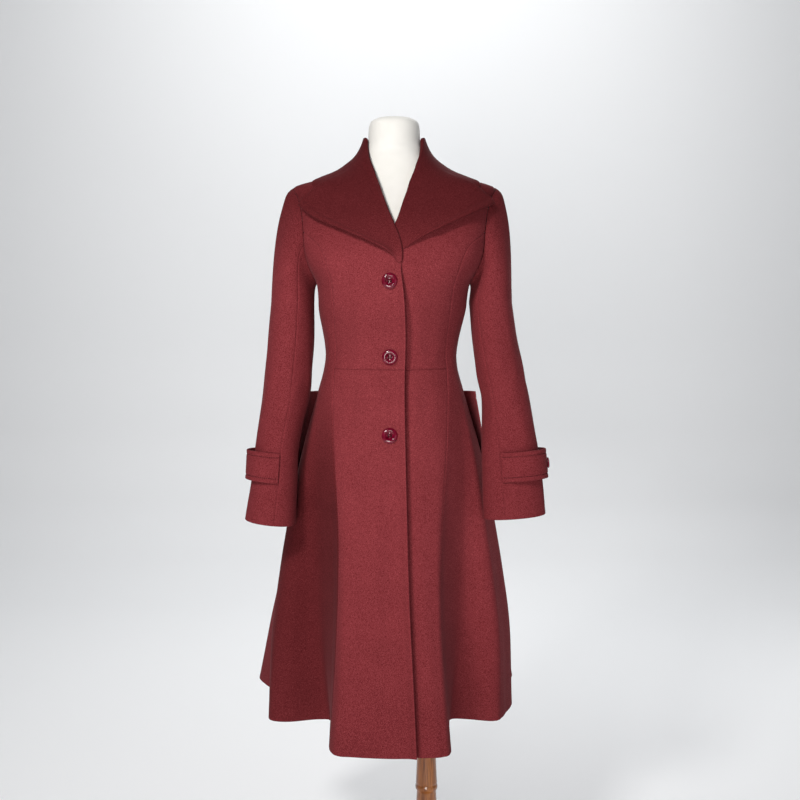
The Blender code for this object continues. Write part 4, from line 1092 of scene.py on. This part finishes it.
class Sleeve:
    """Set-in sleeve. turn counts from the shoulder and outer side, 90 is the front, 180 the underarm."""

    def __init__(self, side, table, front_seam_turn, strap_button, crease_table):
        self.side = side
        self.table = table
        self.front_seam = front_seam_turn
        self.strap_button = strap_button
        self.crease_table = crease_table
        self.steps = np.arange(len(table))
        rise = np.linspace(-1.0, 1.0, ARMHOLE_SAMPLES)
        heights = ARMHOLE_MID_Z + ARMHOLE_RISE * np.sin(rise * np.pi / 2)
        turns = np.degrees(np.arccos(np.clip((heights - ARMHOLE_MID_Z) / ARMHOLE_RISE, -1, 1)))
        front = body(side * armhole_turn(heights, True), level_at(heights))
        back = body(side * armhole_turn(heights, False), level_at(heights))
        self.hole_turns = np.concatenate((turns[::-1], 360.0 - turns[1:]))
        self.hole_points = np.concatenate((front[::-1], back[1:]))
        self.hole_middle = self.hole_points[:-1].mean(axis=0)

    def hole(self, turn):
        """Point of the armhole, let out a little so that the sleeve meets the panels."""
        around = np.asarray(turn, float) % 360.0
        places = [np.interp(around, self.hole_turns, line) for line in self.hole_points.T]
        points = np.stack(places, axis=-1)
        return points - unit(self.hole_middle - points) * ARMHOLE_LAP

    def arm(self, turn, step):
        """Point of the sleeve below the underarm."""
        z, x, y, half, depth, tilt = np.moveaxis(through(self.steps, self.table, step), -1, 0)
        angle = np.radians(turn)
        out = np.cos(angle)
        front = np.sin(angle)
        sum_of_powers = np.abs(out / half) ** SLEEVE_SQUARE + np.abs(front / depth) ** SLEEVE_SQUARE
        reach = sum_of_powers ** (-1 / SLEEVE_SQUARE)
        return np.stack((self.side * (x + reach * out), y - reach * front, z + tilt * reach * out), axis=-1)

    def point(self, turn, row):
        """Point of the sleeve. row runs from -1 at the armhole through 0 under the arm to the cuff."""
        turn, row = np.broadcast_arrays(np.asarray(turn, float), np.asarray(row, float))
        start = self.hole(turn)
        stop = self.arm(turn, np.maximum(row, 0.0))
        span = np.linalg.norm(stop - start, axis=-1, keepdims=True)
        leave = np.array((self.side * CAP_START[0], 0.0, -CAP_START[1])) * span
        arrive = np.array((self.side * CAP_END[0], 0.0, -CAP_END[1])) * span
        t = np.clip(row + 1.0, 0.0, 1.0)[..., None]
        return (start * (1 + 2 * t) * (1 - t) ** 2 + leave * t * (1 - t) ** 2
                + stop * t * t * (3 - 2 * t) - arrive * t * t * (1 - t))

    def normal(self, turn, row):
        """Outward direction of the sleeve."""
        around = self.point(turn + TURN_STEP, row) - self.point(turn - TURN_STEP, row)
        along = self.point(turn, row + LEVEL_STEP) - self.point(turn, np.maximum(row - LEVEL_STEP, -1.0))
        return unit(np.cross(around, along)) * self.side

    def skin(self, turn, row, lift):
        """Point of the creased sleeve moved out by lift."""
        points = self.point(turn, row)
        puff = CAP_PUFF * np.exp(-((row - CAP_PUFF_ROW) / CAP_PUFF_LENGTH) ** 2)
        puff = puff * np.clip(np.cos(np.radians(turn)), 0, 1) * np.clip((row + 1.0) / CAP_PUFF_START, 0, 1)
        calm = np.clip((row + 1.0) / CAP_CALM, 0, 1)
        shift = creases(self.crease_table, turn, points[..., 2]) * calm + puff
        return points + self.normal(turn, row) * (np.asarray(lift) + shift)[..., None]

    def row_at(self, z):
        """Row of the sleeve's centre line at a height."""
        steps = np.linspace(0, len(self.table) - 1, ARM_SAMPLES)
        heights = through(self.steps, self.table, steps)[:, 0]
        return np.interp(-z, -heights, steps)

    def make_piece(self, node, first, last, columns):
        """Top or under sleeve between its two seams."""
        last_row = float(len(self.table) - 1)
        cuff_step = self.table[-2, 0] - self.table[-1, 0]
        cap = np.linspace(-1.0, 0.0, CAP_ROWS)
        tail = last_row - EDGE_STEPS[::-1] / cuff_step
        rows = np.concatenate((cap, np.linspace(0.0, tail[0], ARM_ROWS)[1:-1], tail))[:, None]
        fine = np.linspace(first, last, FINE)
        along = running(steps_of(self.point(fine[None, :], rows), 1))
        places = SEAM_GAP + spread(along[:, -1] - 2 * SEAM_GAP, columns)
        turns = np.array([np.interp(place, line, fine) for place, line in zip(places, along)])
        grid_rows = np.broadcast_to(rows, turns.shape)
        from_cap = running(steps_of(self.point(turns, grid_rows), 0).mean(axis=1))[:, None]
        distances = (places - SEAM_GAP, along[:, -1:] - SEAM_GAP - places, from_cap, from_cap[-1] - from_cap)
        borders = ("seam", "seam", "seam", "free")
        outer_lift, inner_lift = draw_in(np.zeros_like(turns), distances, borders)
        outer = self.skin(turns, grid_rows, outer_lift)
        piece = shell(node, outer, self.skin(turns, grid_rows, inner_lift), wool_sleeve_painted_shade)


def strap_skin(sleeve, turns, part, lift):
    """Points of a cuff strap, moved out from its inner face. part runs from its low edge to its high one."""
    row = sleeve.row_at(STRAP_LOW_Z + (STRAP_HIGH_Z - STRAP_LOW_Z) * part)
    share = (sleeve.front_seam - turns) / (sleeve.front_seam - STRAP_END_TURN)
    stand = STRAP_STAND * np.sin(np.pi * share ** STRAP_LEAN) ** STRAP_BULGE
    return sleeve.skin(turns, row, LIE_GAP + stand * (STRAP_FLARE[0] + STRAP_FLARE[1] * part) + lift)


def strap_rows(height):
    """Rows across the strap, closer together at the two stitch lines."""
    rows = spread(height, STRAP_GRID[0])[0]
    fine = np.concatenate((STITCH_INSET + STITCH_ROWS, height - STITCH_INSET + STITCH_ROWS))
    clear = np.abs(rows[:, None] - fine).min(1) > STITCH_ROW_GAP
    return np.sort(np.concatenate((rows[clear], fine)))


def make_strap(sleeve, side_name):
    """Cuff strap with two rows of stitches, and its button."""
    height = STRAP_HIGH_Z - STRAP_LOW_Z
    parts = strap_rows(height)
    samples = np.linspace(sleeve.front_seam - STRAP_SEAM, STRAP_END_TURN, STRAP_SAMPLES)
    middle = strap_skin(sleeve, samples[None, :], np.array([[STRAP_MIDDLE]]), STRAP_CLOTH)
    length = float(lengths(middle, 1)[0])
    places = spread(length, STRAP_GRID[1])[0]
    turns = np.interp(places / length, np.linspace(0, 1, len(samples)), samples)
    distances = (parts[:, None], height - parts[:, None], places[None, :], (length - places)[None, :])
    lines = (STITCH_INSET, height - STITCH_INSET)
    outer_lift, inner_lift = round_off(np.zeros((len(parts), len(turns))), STRAP_CLOTH, distances)
    outer_lift = press_stitches(outer_lift, parts, lines)
    shares = (parts / height)[:, None]
    outer = strap_skin(sleeve, turns[None, :], shares, outer_lift)
    inner = strap_skin(sleeve, turns[None, :], shares, inner_lift)
    strap = shell("strap_" + side_name, outer, inner, wool_sleeve_painted_shade)

    even = np.linspace(0, 1, len(turns))
    even_turns = np.interp(even * length, places, turns)
    bed = STRAP_CLOTH - STITCH_GROOVE + STITCH_RISE
    runs = []
    for line in lines:
        for mark in np.arange(STITCH_INSET / 2, length - STITCH_INSET / 2, STITCH_PITCH):
            ends = np.interp(np.array((mark, mark + STITCH_LENGTH)) / length, even, even_turns)
            runs.append(strap_skin(sleeve, ends, line / height, bed))
    # The stitches' near-black thread paints the shade of the grooves they lie in
    stitches = make_stitches("stitches_" + side_name, runs)

    spot = np.array([sleeve.strap_button])
    under = np.array([strap_skin(sleeve, spot, part, STRAP_CLOTH)[0] for part in STRAP_BUTTON_PARTS])
    low, point, high = under
    side_step = strap_skin(sleeve, spot + TURN_STEP, STRAP_MIDDLE, STRAP_CLOTH)[0] - point
    normal = unit(np.cross(side_step, low - high)) * sleeve.side
    make_button("strap_button_" + side_name, STRAP_BUTTON_RADIUS, point, normal, under)


def make_stitches(name, runs):
    """Short raised stitches, each a small spindle between its two ends."""
    angles = np.radians(np.arange(STITCH_SIDES) * 360 / STITCH_SIDES)
    points = []
    faces = []
    for start, stop in runs:
        along = unit(stop - start)
        side = unit(np.cross(along, (0.0, 0.0, 1.0)))
        up = np.cross(side, along)
        first = len(points) + 1
        points.append(start)
        for share, girth in STITCH_RINGS:
            centre = start + (stop - start) * share
            for angle in angles:
                points.append(centre + (side * np.cos(angle) + up * np.sin(angle)) * STITCH_GIRTH * girth)
        points.append(stop)
        last = len(points) - 1
        for index in range(STITCH_SIDES):
            after = (index + 1) % STITCH_SIDES
            faces.append((first - 1, first + after, first + index))
            for low in range(first, last - STITCH_SIDES, STITCH_SIDES):
                high = low + STITCH_SIDES
                faces.append((low + index, low + after, high + after, high + index))
            faces.append((last - STITCH_SIDES + index, last - STITCH_SIDES + after, last))
    mesh = bpy.data.meshes.new(name)
    mesh.from_pydata((np.array(points) + (COAT_X, 0.0, 0.0)).tolist(), [], faces)
    mesh.shade_smooth()
    return add_piece(name, mesh, thread, None)


def lathe(name, profile, segments):
    """Mesh turned about Z from a profile of distances and heights, top first."""
    shape = bmesh.new()
    rings = []
    for distance, height in profile:
        if distance < WELD:
            rings.append([shape.verts.new((0.0, 0.0, height))])
            continue
        ring = []
        for index in range(segments):
            angle = 2 * math.pi * index / segments
            ring.append(shape.verts.new((distance * math.cos(angle), distance * math.sin(angle), height)))
        rings.append(ring)
    for upper, lower in zip(rings, rings[1:]):
        for index in range(segments):
            after = (index + 1) % segments
            corners = [upper[index % len(upper)], lower[index % len(lower)]]
            corners += [lower[after % len(lower)], upper[after % len(upper)]]
            shape.faces.new(list(dict.fromkeys(corners)))
    return smooth_mesh(shape, name)


def rounded(profile, per_span):
    """Profile with extra points on a smooth curve through it."""
    rows = np.array(profile, float)
    knots = running(steps_of(rows, 0))
    spans = [np.linspace(low, high, per_span, endpoint=False) for low, high in zip(knots, knots[1:])]
    curve = through(knots, rows, np.concatenate((*spans, knots[-1:])))
    curve[:, 0] = np.maximum(curve[:, 0], 0.0)
    return curve.tolist()


def make_button(node, radius, point, normal, under):
    """Glossy button with a raised rim, a dished middle, sewing holes and thread."""
    profile = [(x * radius, z * radius) for x, z in rounded(BUTTON_PROFILE, BUTTON_ROUNDING)]
    mesh = lathe(node + "_horn", profile, BUTTON_SIDES)
    spot = BUTTON_HOLE_SPOT * radius
    for vert in mesh.vertices:
        for x, y in ((-spot, -spot), (-spot, spot), (spot, -spot), (spot, spot)):
            away = math.hypot(vert.co.x - x, vert.co.y - y) / (BUTTON_HOLE * radius)
            if away < 1.0 and vert.co.z > BUTTON_FACE * radius:
                vert.co.z -= BUTTON_HOLE_DEPTH * radius * (1 - away ** BUTTON_HOLE_POWER)
    add_piece(node + "_horn", mesh, horn, node)
    rise = max(0.0, float(np.max((under - point) @ normal)))
    seat = Matrix.Translation(point + normal * (rise + SEAM_GAP) + (COAT_X, 0.0, 0.0))
    seat = seat @ Vector(normal).to_track_quat("Z", "Y").to_matrix().to_4x4()
    mesh.transform(seat)

    sewing = bmesh.new()
    size = Matrix.Diagonal((THREAD_GIRTH * radius, THREAD_REACH * spot, THREAD_GIRTH * radius, 1.0))
    for x in (-spot, spot):
        for step in (-0.5, 0.5):
            strand = bmesh.ops.create_icosphere(sewing, subdivisions=2, radius=1.0)["verts"]
            shift = Matrix.Translation((x + THREAD_STEP * radius * step, 0.0, THREAD_HEIGHT * radius))
            bmesh.ops.transform(sewing, matrix=shift @ size, verts=strand)
    thread_mesh = bpy.data.meshes.new(node + "_thread")
    sewing.to_mesh(thread_mesh)
    sewing.free()
    thread_mesh.shade_smooth()
    thread_mesh.transform(seat)
    add_piece(node + "_thread", thread_mesh, thread, None)


def make_front_buttons():
    """Buttons on the right front."""
    for node, z in FRONT_BUTTONS:
        turn = turn_at_x(BUTTON_X, z)
        level = level_at(z)
        lift = overlap_lift(turn)
        under = np.array([skin(turn, level_at(z + BUTTON_RADIUS * up), lift) for up in BUTTON_RESTS])
        make_button(node, BUTTON_RADIUS, skin(turn, level, lift), body_normal(turn, level), under)


def make_pocket(node, side):
    """Hip pocket that lies on the side panels and stands open at its front and top."""
    height = POCKET_HIGH_Z - POCKET_LOW_Z
    up_places = spread(height, POCKET_GRID[0])[0]
    around_places = spread(POCKET_WIDTH, POCKET_GRID[1])[0]
    up, around = np.meshgrid(up_places / height, around_places / POCKET_WIDTH, indexing="ij")
    turns = side * (POCKET_TURNS[0] + (POCKET_TURNS[1] - POCKET_TURNS[0]) * around)
    levels = level_at(POCKET_LOW_Z + height * up)
    gape = LIE_GAP + POCKET_GAPE * (up * (1 - around)) ** POCKET_CURVE
    from_low = up_places[:, None]
    distances = (from_low, height - from_low, around_places, POCKET_WIDTH - around_places)
    outer_lift, inner_lift = round_off(gape, CLOTH, distances)
    outer_lift = press_stitches(outer_lift, up_places, (POCKET_STITCH, height - POCKET_STITCH))
    outer = skin(turns, levels, outer_lift)
    piece = shell(node, outer, skin(turns, levels, inner_lift), wool)


def make_form():
    """Dress form: hips, then a torso just inside the coat, then the neck."""
    ring_count, columns = FORM_GRID
    degrees = np.linspace(0, 360, columns + 1)
    radians = np.radians(degrees)

    def oval_row(z, centre_x, half, front, back):
        """Ring of points on a squared oval."""
        reach = oval_reach(degrees, half, front, back, FORM_SQUARE)
        x = centre_x + reach * np.sin(radians)
        return np.stack((x, -reach * np.cos(radians), np.full_like(radians, z)), axis=-1)

    rows = [oval_row(*row) for row in FORM_HIPS]
    for z in FORM_ROWS:
        level = level_at(z)
        rows.append(body(degrees, level) - body_normal(degrees, level) * (CLOTH + FORM_ROOM))
    rows += [oval_row(*row) for row in FORM_NECK]
    flat_rows = np.array(rows).reshape(len(rows), -1)
    rings = through(np.arange(len(rows)), flat_rows, np.linspace(0, len(rows) - 1, ring_count))
    rings = rings.reshape(ring_count, columns + 1, 3)[:, :-1] + (COAT_X, 0.0, 0.0)
    shape = bmesh.new()
    loops = [[shape.verts.new(point) for point in ring] for ring in rings]
    for low, high in zip(loops, loops[1:]):
        for index in range(columns):
            after = (index + 1) % columns
            shape.faces.new((low[index], low[after], high[after], high[index]))
    shape.faces.new(loops[0][::-1])
    shape.faces.new(loops[-1])
    mesh = smooth_mesh(shape, "form_torso_jersey")
    add_piece("form_torso_jersey", mesh, jersey, "form_torso")


class Look:
    """Material fed by procedural textures. Its constants are named after the shader's sockets."""

    def __init__(self, name, roughness, **constants):
        self.material = bpy.data.materials.new(name)
        self.material.use_nodes = True
        self.nodes = self.material.node_tree.nodes
        self.links = self.material.node_tree.links
        self.shader = self.nodes["Principled BSDF"]
        self.shader.inputs["Roughness"].default_value = roughness
        for socket, value in constants.items():
            self.shader.inputs[socket.replace("_", " ")].default_value = value

    def noise(self, scale, detail, stretch):
        """Noise in metres of the object's own frame."""
        place = self.nodes.new("ShaderNodeTexCoord")
        mapping = self.nodes.new("ShaderNodeMapping")
        mapping.inputs["Scale"].default_value = stretch
        texture = self.nodes.new("ShaderNodeTexNoise")
        texture.inputs["Scale"].default_value = scale
        texture.inputs["Detail"].default_value = detail
        self.links.new(place.outputs["Object"], mapping.inputs["Vector"])
        self.links.new(mapping.outputs["Vector"], texture.inputs["Vector"])
        return texture.outputs["Fac"]

    def ramp(self, factor, stops):
        """Colours along a factor."""
        node = self.nodes.new("ShaderNodeValToRGB")
        while len(node.color_ramp.elements) < len(stops):
            node.color_ramp.elements.new(0.5)
        for element, (place, colour) in zip(node.color_ramp.elements, stops):
            element.position = place
            element.color = (*colour, 1.0)
        self.links.new(factor, node.inputs["Fac"])
        return node.outputs["Color"]

    def shade(self, stops):
        """Painted shade that changes with the height in the object's own frame, and is redder where it is
        darker.
        """
        low, high = PAINTED_SHADE_RANGE
        place = self.nodes.new("ShaderNodeTexCoord")
        split = self.nodes.new("ShaderNodeSeparateXYZ")
        share = self.nodes.new("ShaderNodeMapRange")
        share.inputs["From Min"].default_value = low
        share.inputs["From Max"].default_value = high
        self.links.new(place.outputs["Object"], split.inputs["Vector"])
        self.links.new(split.outputs["Z"], share.inputs["Value"])
        tones = []
        for z, tone in stops:
            deep = tone ** PAINTED_SHADE_DEPTH
            tones.append(((z - low) / (high - low), (tone, deep, deep)))
        return self.ramp(share.outputs["Result"], tones)

    def multiply(self, first, second):
        """Product of two colours."""
        node = self.nodes.new("ShaderNodeMix")
        node.data_type = "RGBA"
        node.blend_type = "MULTIPLY"
        node.inputs["Factor"].default_value = 1.0
        self.links.new(first, node.inputs["A"])
        self.links.new(second, node.inputs["B"])
        return node.outputs["Result"]

    def colour(self, source):
        """Feed the shader's colour."""
        self.links.new(source, self.shader.inputs["Base Color"])

    def bump(self, *heights):
        """Feed the shader's bump from height sources, each with its strength and depth."""
        before = None
        for source, (strength, depth) in heights:
            node = self.nodes.new("ShaderNodeBump")
            node.inputs["Strength"].default_value = strength
            node.inputs["Distance"].default_value = depth
            self.links.new(source, node.inputs["Height"])
            if before:
                self.links.new(before, node.inputs["Normal"])
            before = node.outputs["Normal"]
        self.links.new(before, self.shader.inputs["Normal"])


def wool_look_with_painted_shade(name, painted_shades):
    """Brushed wool and cashmere: fine mottled colour, short nap, a soft sheen, and painted shade by height.
    """
    look = Look(name, 0.92, Sheen_Weight=0.06, Sheen_Roughness=0.45, Sheen_Tint=SHEEN_TINT,
                Specular_IOR_Level=0.08)
    nap = look.noise(*NAP_NOISE)
    cloud = look.noise(*CLOUD_NOISE)
    fibre = look.noise(*FIBRE_NOISE)
    mottled = look.multiply(look.ramp(nap, WOOL_TONES), look.ramp(cloud, CLOUD_TONES))
    # Colour darkened by painted shade by height
    look.colour(look.multiply(mottled, look.shade(painted_shades)))
    look.bump((nap, NAP_BUMP), (fibre, FIBRE_BUMP))
    return look.material


def horn_look():
    """Polished horn with a faint swirl."""
    look = Look("polished_horn", 0.12, Specular_IOR_Level=0.65)
    look.colour(look.ramp(look.noise(*SWIRL_NOISE), HORN_TONES))
    return look.material


def jersey_look():
    """Ivory jersey of the dress form, with a fine knit."""
    look = Look("ivory_jersey", 0.80, Sheen_Weight=0.15, Specular_IOR_Level=0.25)
    knit = look.noise(*KNIT_NOISE)
    look.colour(look.ramp(look.noise(*JERSEY_NOISE), JERSEY_TONES))
    look.bump((knit, KNIT_BUMP))
    return look.material


def wood_look():
    """Varnished wood with upright grain and pores."""
    look = Look("varnished_beech", 0.30, Coat_Weight=0.4, Coat_Roughness=0.12)
    grain = look.noise(*GRAIN_NOISE)
    pores = look.noise(*PORE_NOISE)
    look.colour(look.multiply(look.ramp(grain, WOOD_TONES), look.ramp(pores, PORE_TONES)))
    look.bump((pores, PORE_BUMP))
    return look.material


def thread_and_groove_shade_look():
    """Dull twisted sewing thread, so dark that on the straps it also paints the shade of the stitch grooves.
    """
    look = Look("sewing_thread_and_groove_shade", 0.9, Specular_IOR_Level=0.1)
    look.colour(look.ramp(look.noise(*TWIST_NOISE), THREAD_AND_GROOVE_SHADE_TONES))
    return look.material


def floor_look():
    """Plain pale floor."""
    return Look("pale_floor", 0.75, Base_Color=FLOOR_COLOUR).material


def make_stage():
    """Floor with a backdrop that curves up behind, lights and camera."""
    scene = bpy.context.scene
    points = []
    for x in (-STAGE_HALF, STAGE_HALF):
        points += [(x, y, z) for y, z in STAGE_PROFILE]
    count = len(STAGE_PROFILE)
    faces = [(index, index + 1, count + index + 1, count + index) for index in range(count - 1)]
    mesh = bpy.data.meshes.new("floor")
    mesh.from_pydata(points, [], faces)
    mesh.shade_smooth()
    mesh.materials.append(floor_look())
    add_object("floor", mesh)

    for name, place, aim, size, power, colour in LIGHTS:
        lamp = bpy.data.lights.new(name, "AREA")
        lamp.size = size
        lamp.energy = power
        lamp.color = colour
        light = add_object(name, lamp)
        light.location = place
        light.rotation_euler = (Vector(aim) - Vector(place)).to_track_quat("-Z", "Y").to_euler()

    scene.view_settings.view_transform = "Standard"
    world = bpy.data.worlds.new("studio")
    world.use_nodes = True
    background = world.node_tree.nodes["Background"]
    background.inputs["Color"].default_value = WORLD_COLOUR
    background.inputs["Strength"].default_value = WORLD_STRENGTH
    scene.world = world

    lens = bpy.data.cameras.new("camera")
    lens.lens = CAMERA_LENS
    lens.sensor_width = CAMERA_SENSOR
    camera = add_object("camera", lens)
    camera.location = CAMERA_PLACE
    camera.rotation_euler = (math.radians(CAMERA_PITCH), 0.0, 0.0)
    scene.camera = camera


def make_turned(node, profile, sides):
    """Turned wooden part of the stand."""
    name = node + "_turned"
    add_piece(name, lathe(name, profile, sides), wood, node)


horn = horn_look()
jersey = jersey_look()
wood = wood_look()
thread = thread_and_groove_shade_look()
# Copies of one cashmere, each with its own painted shade by height: for the body, the collar, the right side
# front and the sleeves
wool = wool_look_with_painted_shade("cashmere_nap_painted_shade", BODY_PAINTED_SHADES)
wool_collar_painted_shade = wool_look_with_painted_shade("cashmere_collar_painted_shade", COLLAR_PAINTED_SHADES)
wool_side_painted_shade = wool_look_with_painted_shade("cashmere_side_painted_shade", SIDE_PAINTED_SHADES)
wool_sleeve_painted_shade = wool_look_with_painted_shade("cashmere_sleeve_painted_shade", SLEEVE_PAINTED_SHADES)
make_stage()
make_body()
make_collar("collar_right", COLLAR_RIGHT, -1)
make_collar("collar_left", COLLAR_LEFT, 1)
make_stand()
sleeves = {
    "right": Sleeve(-1, SLEEVE_RIGHT, FRONT_SEAM_RIGHT, STRAP_BUTTON_RIGHT, SLEEVE_RIGHT_CREASES),
    "left": Sleeve(1, SLEEVE_LEFT, FRONT_SEAM_LEFT, STRAP_BUTTON_LEFT, SLEEVE_LEFT_CREASES),
}
for side_name, sleeve in sleeves.items():
    front_turn = sleeve.front_seam
    sleeve.make_piece("sleeve_top_" + side_name, SLEEVE_BACK_SEAM - 360.0, front_turn, TOP_SLEEVE_COLUMNS)
    sleeve.make_piece("sleeve_under_" + side_name, front_turn, SLEEVE_BACK_SEAM, UNDER_SLEEVE_COLUMNS)
    make_strap(sleeve, side_name)
    make_pocket("pocket_" + side_name, sleeve.side)
make_front_buttons()
make_form()
make_turned("stand_post", POST_PROFILE, POST_SIDES)
make_turned("stand_base", BASE_PROFILE, BASE_SIDES)
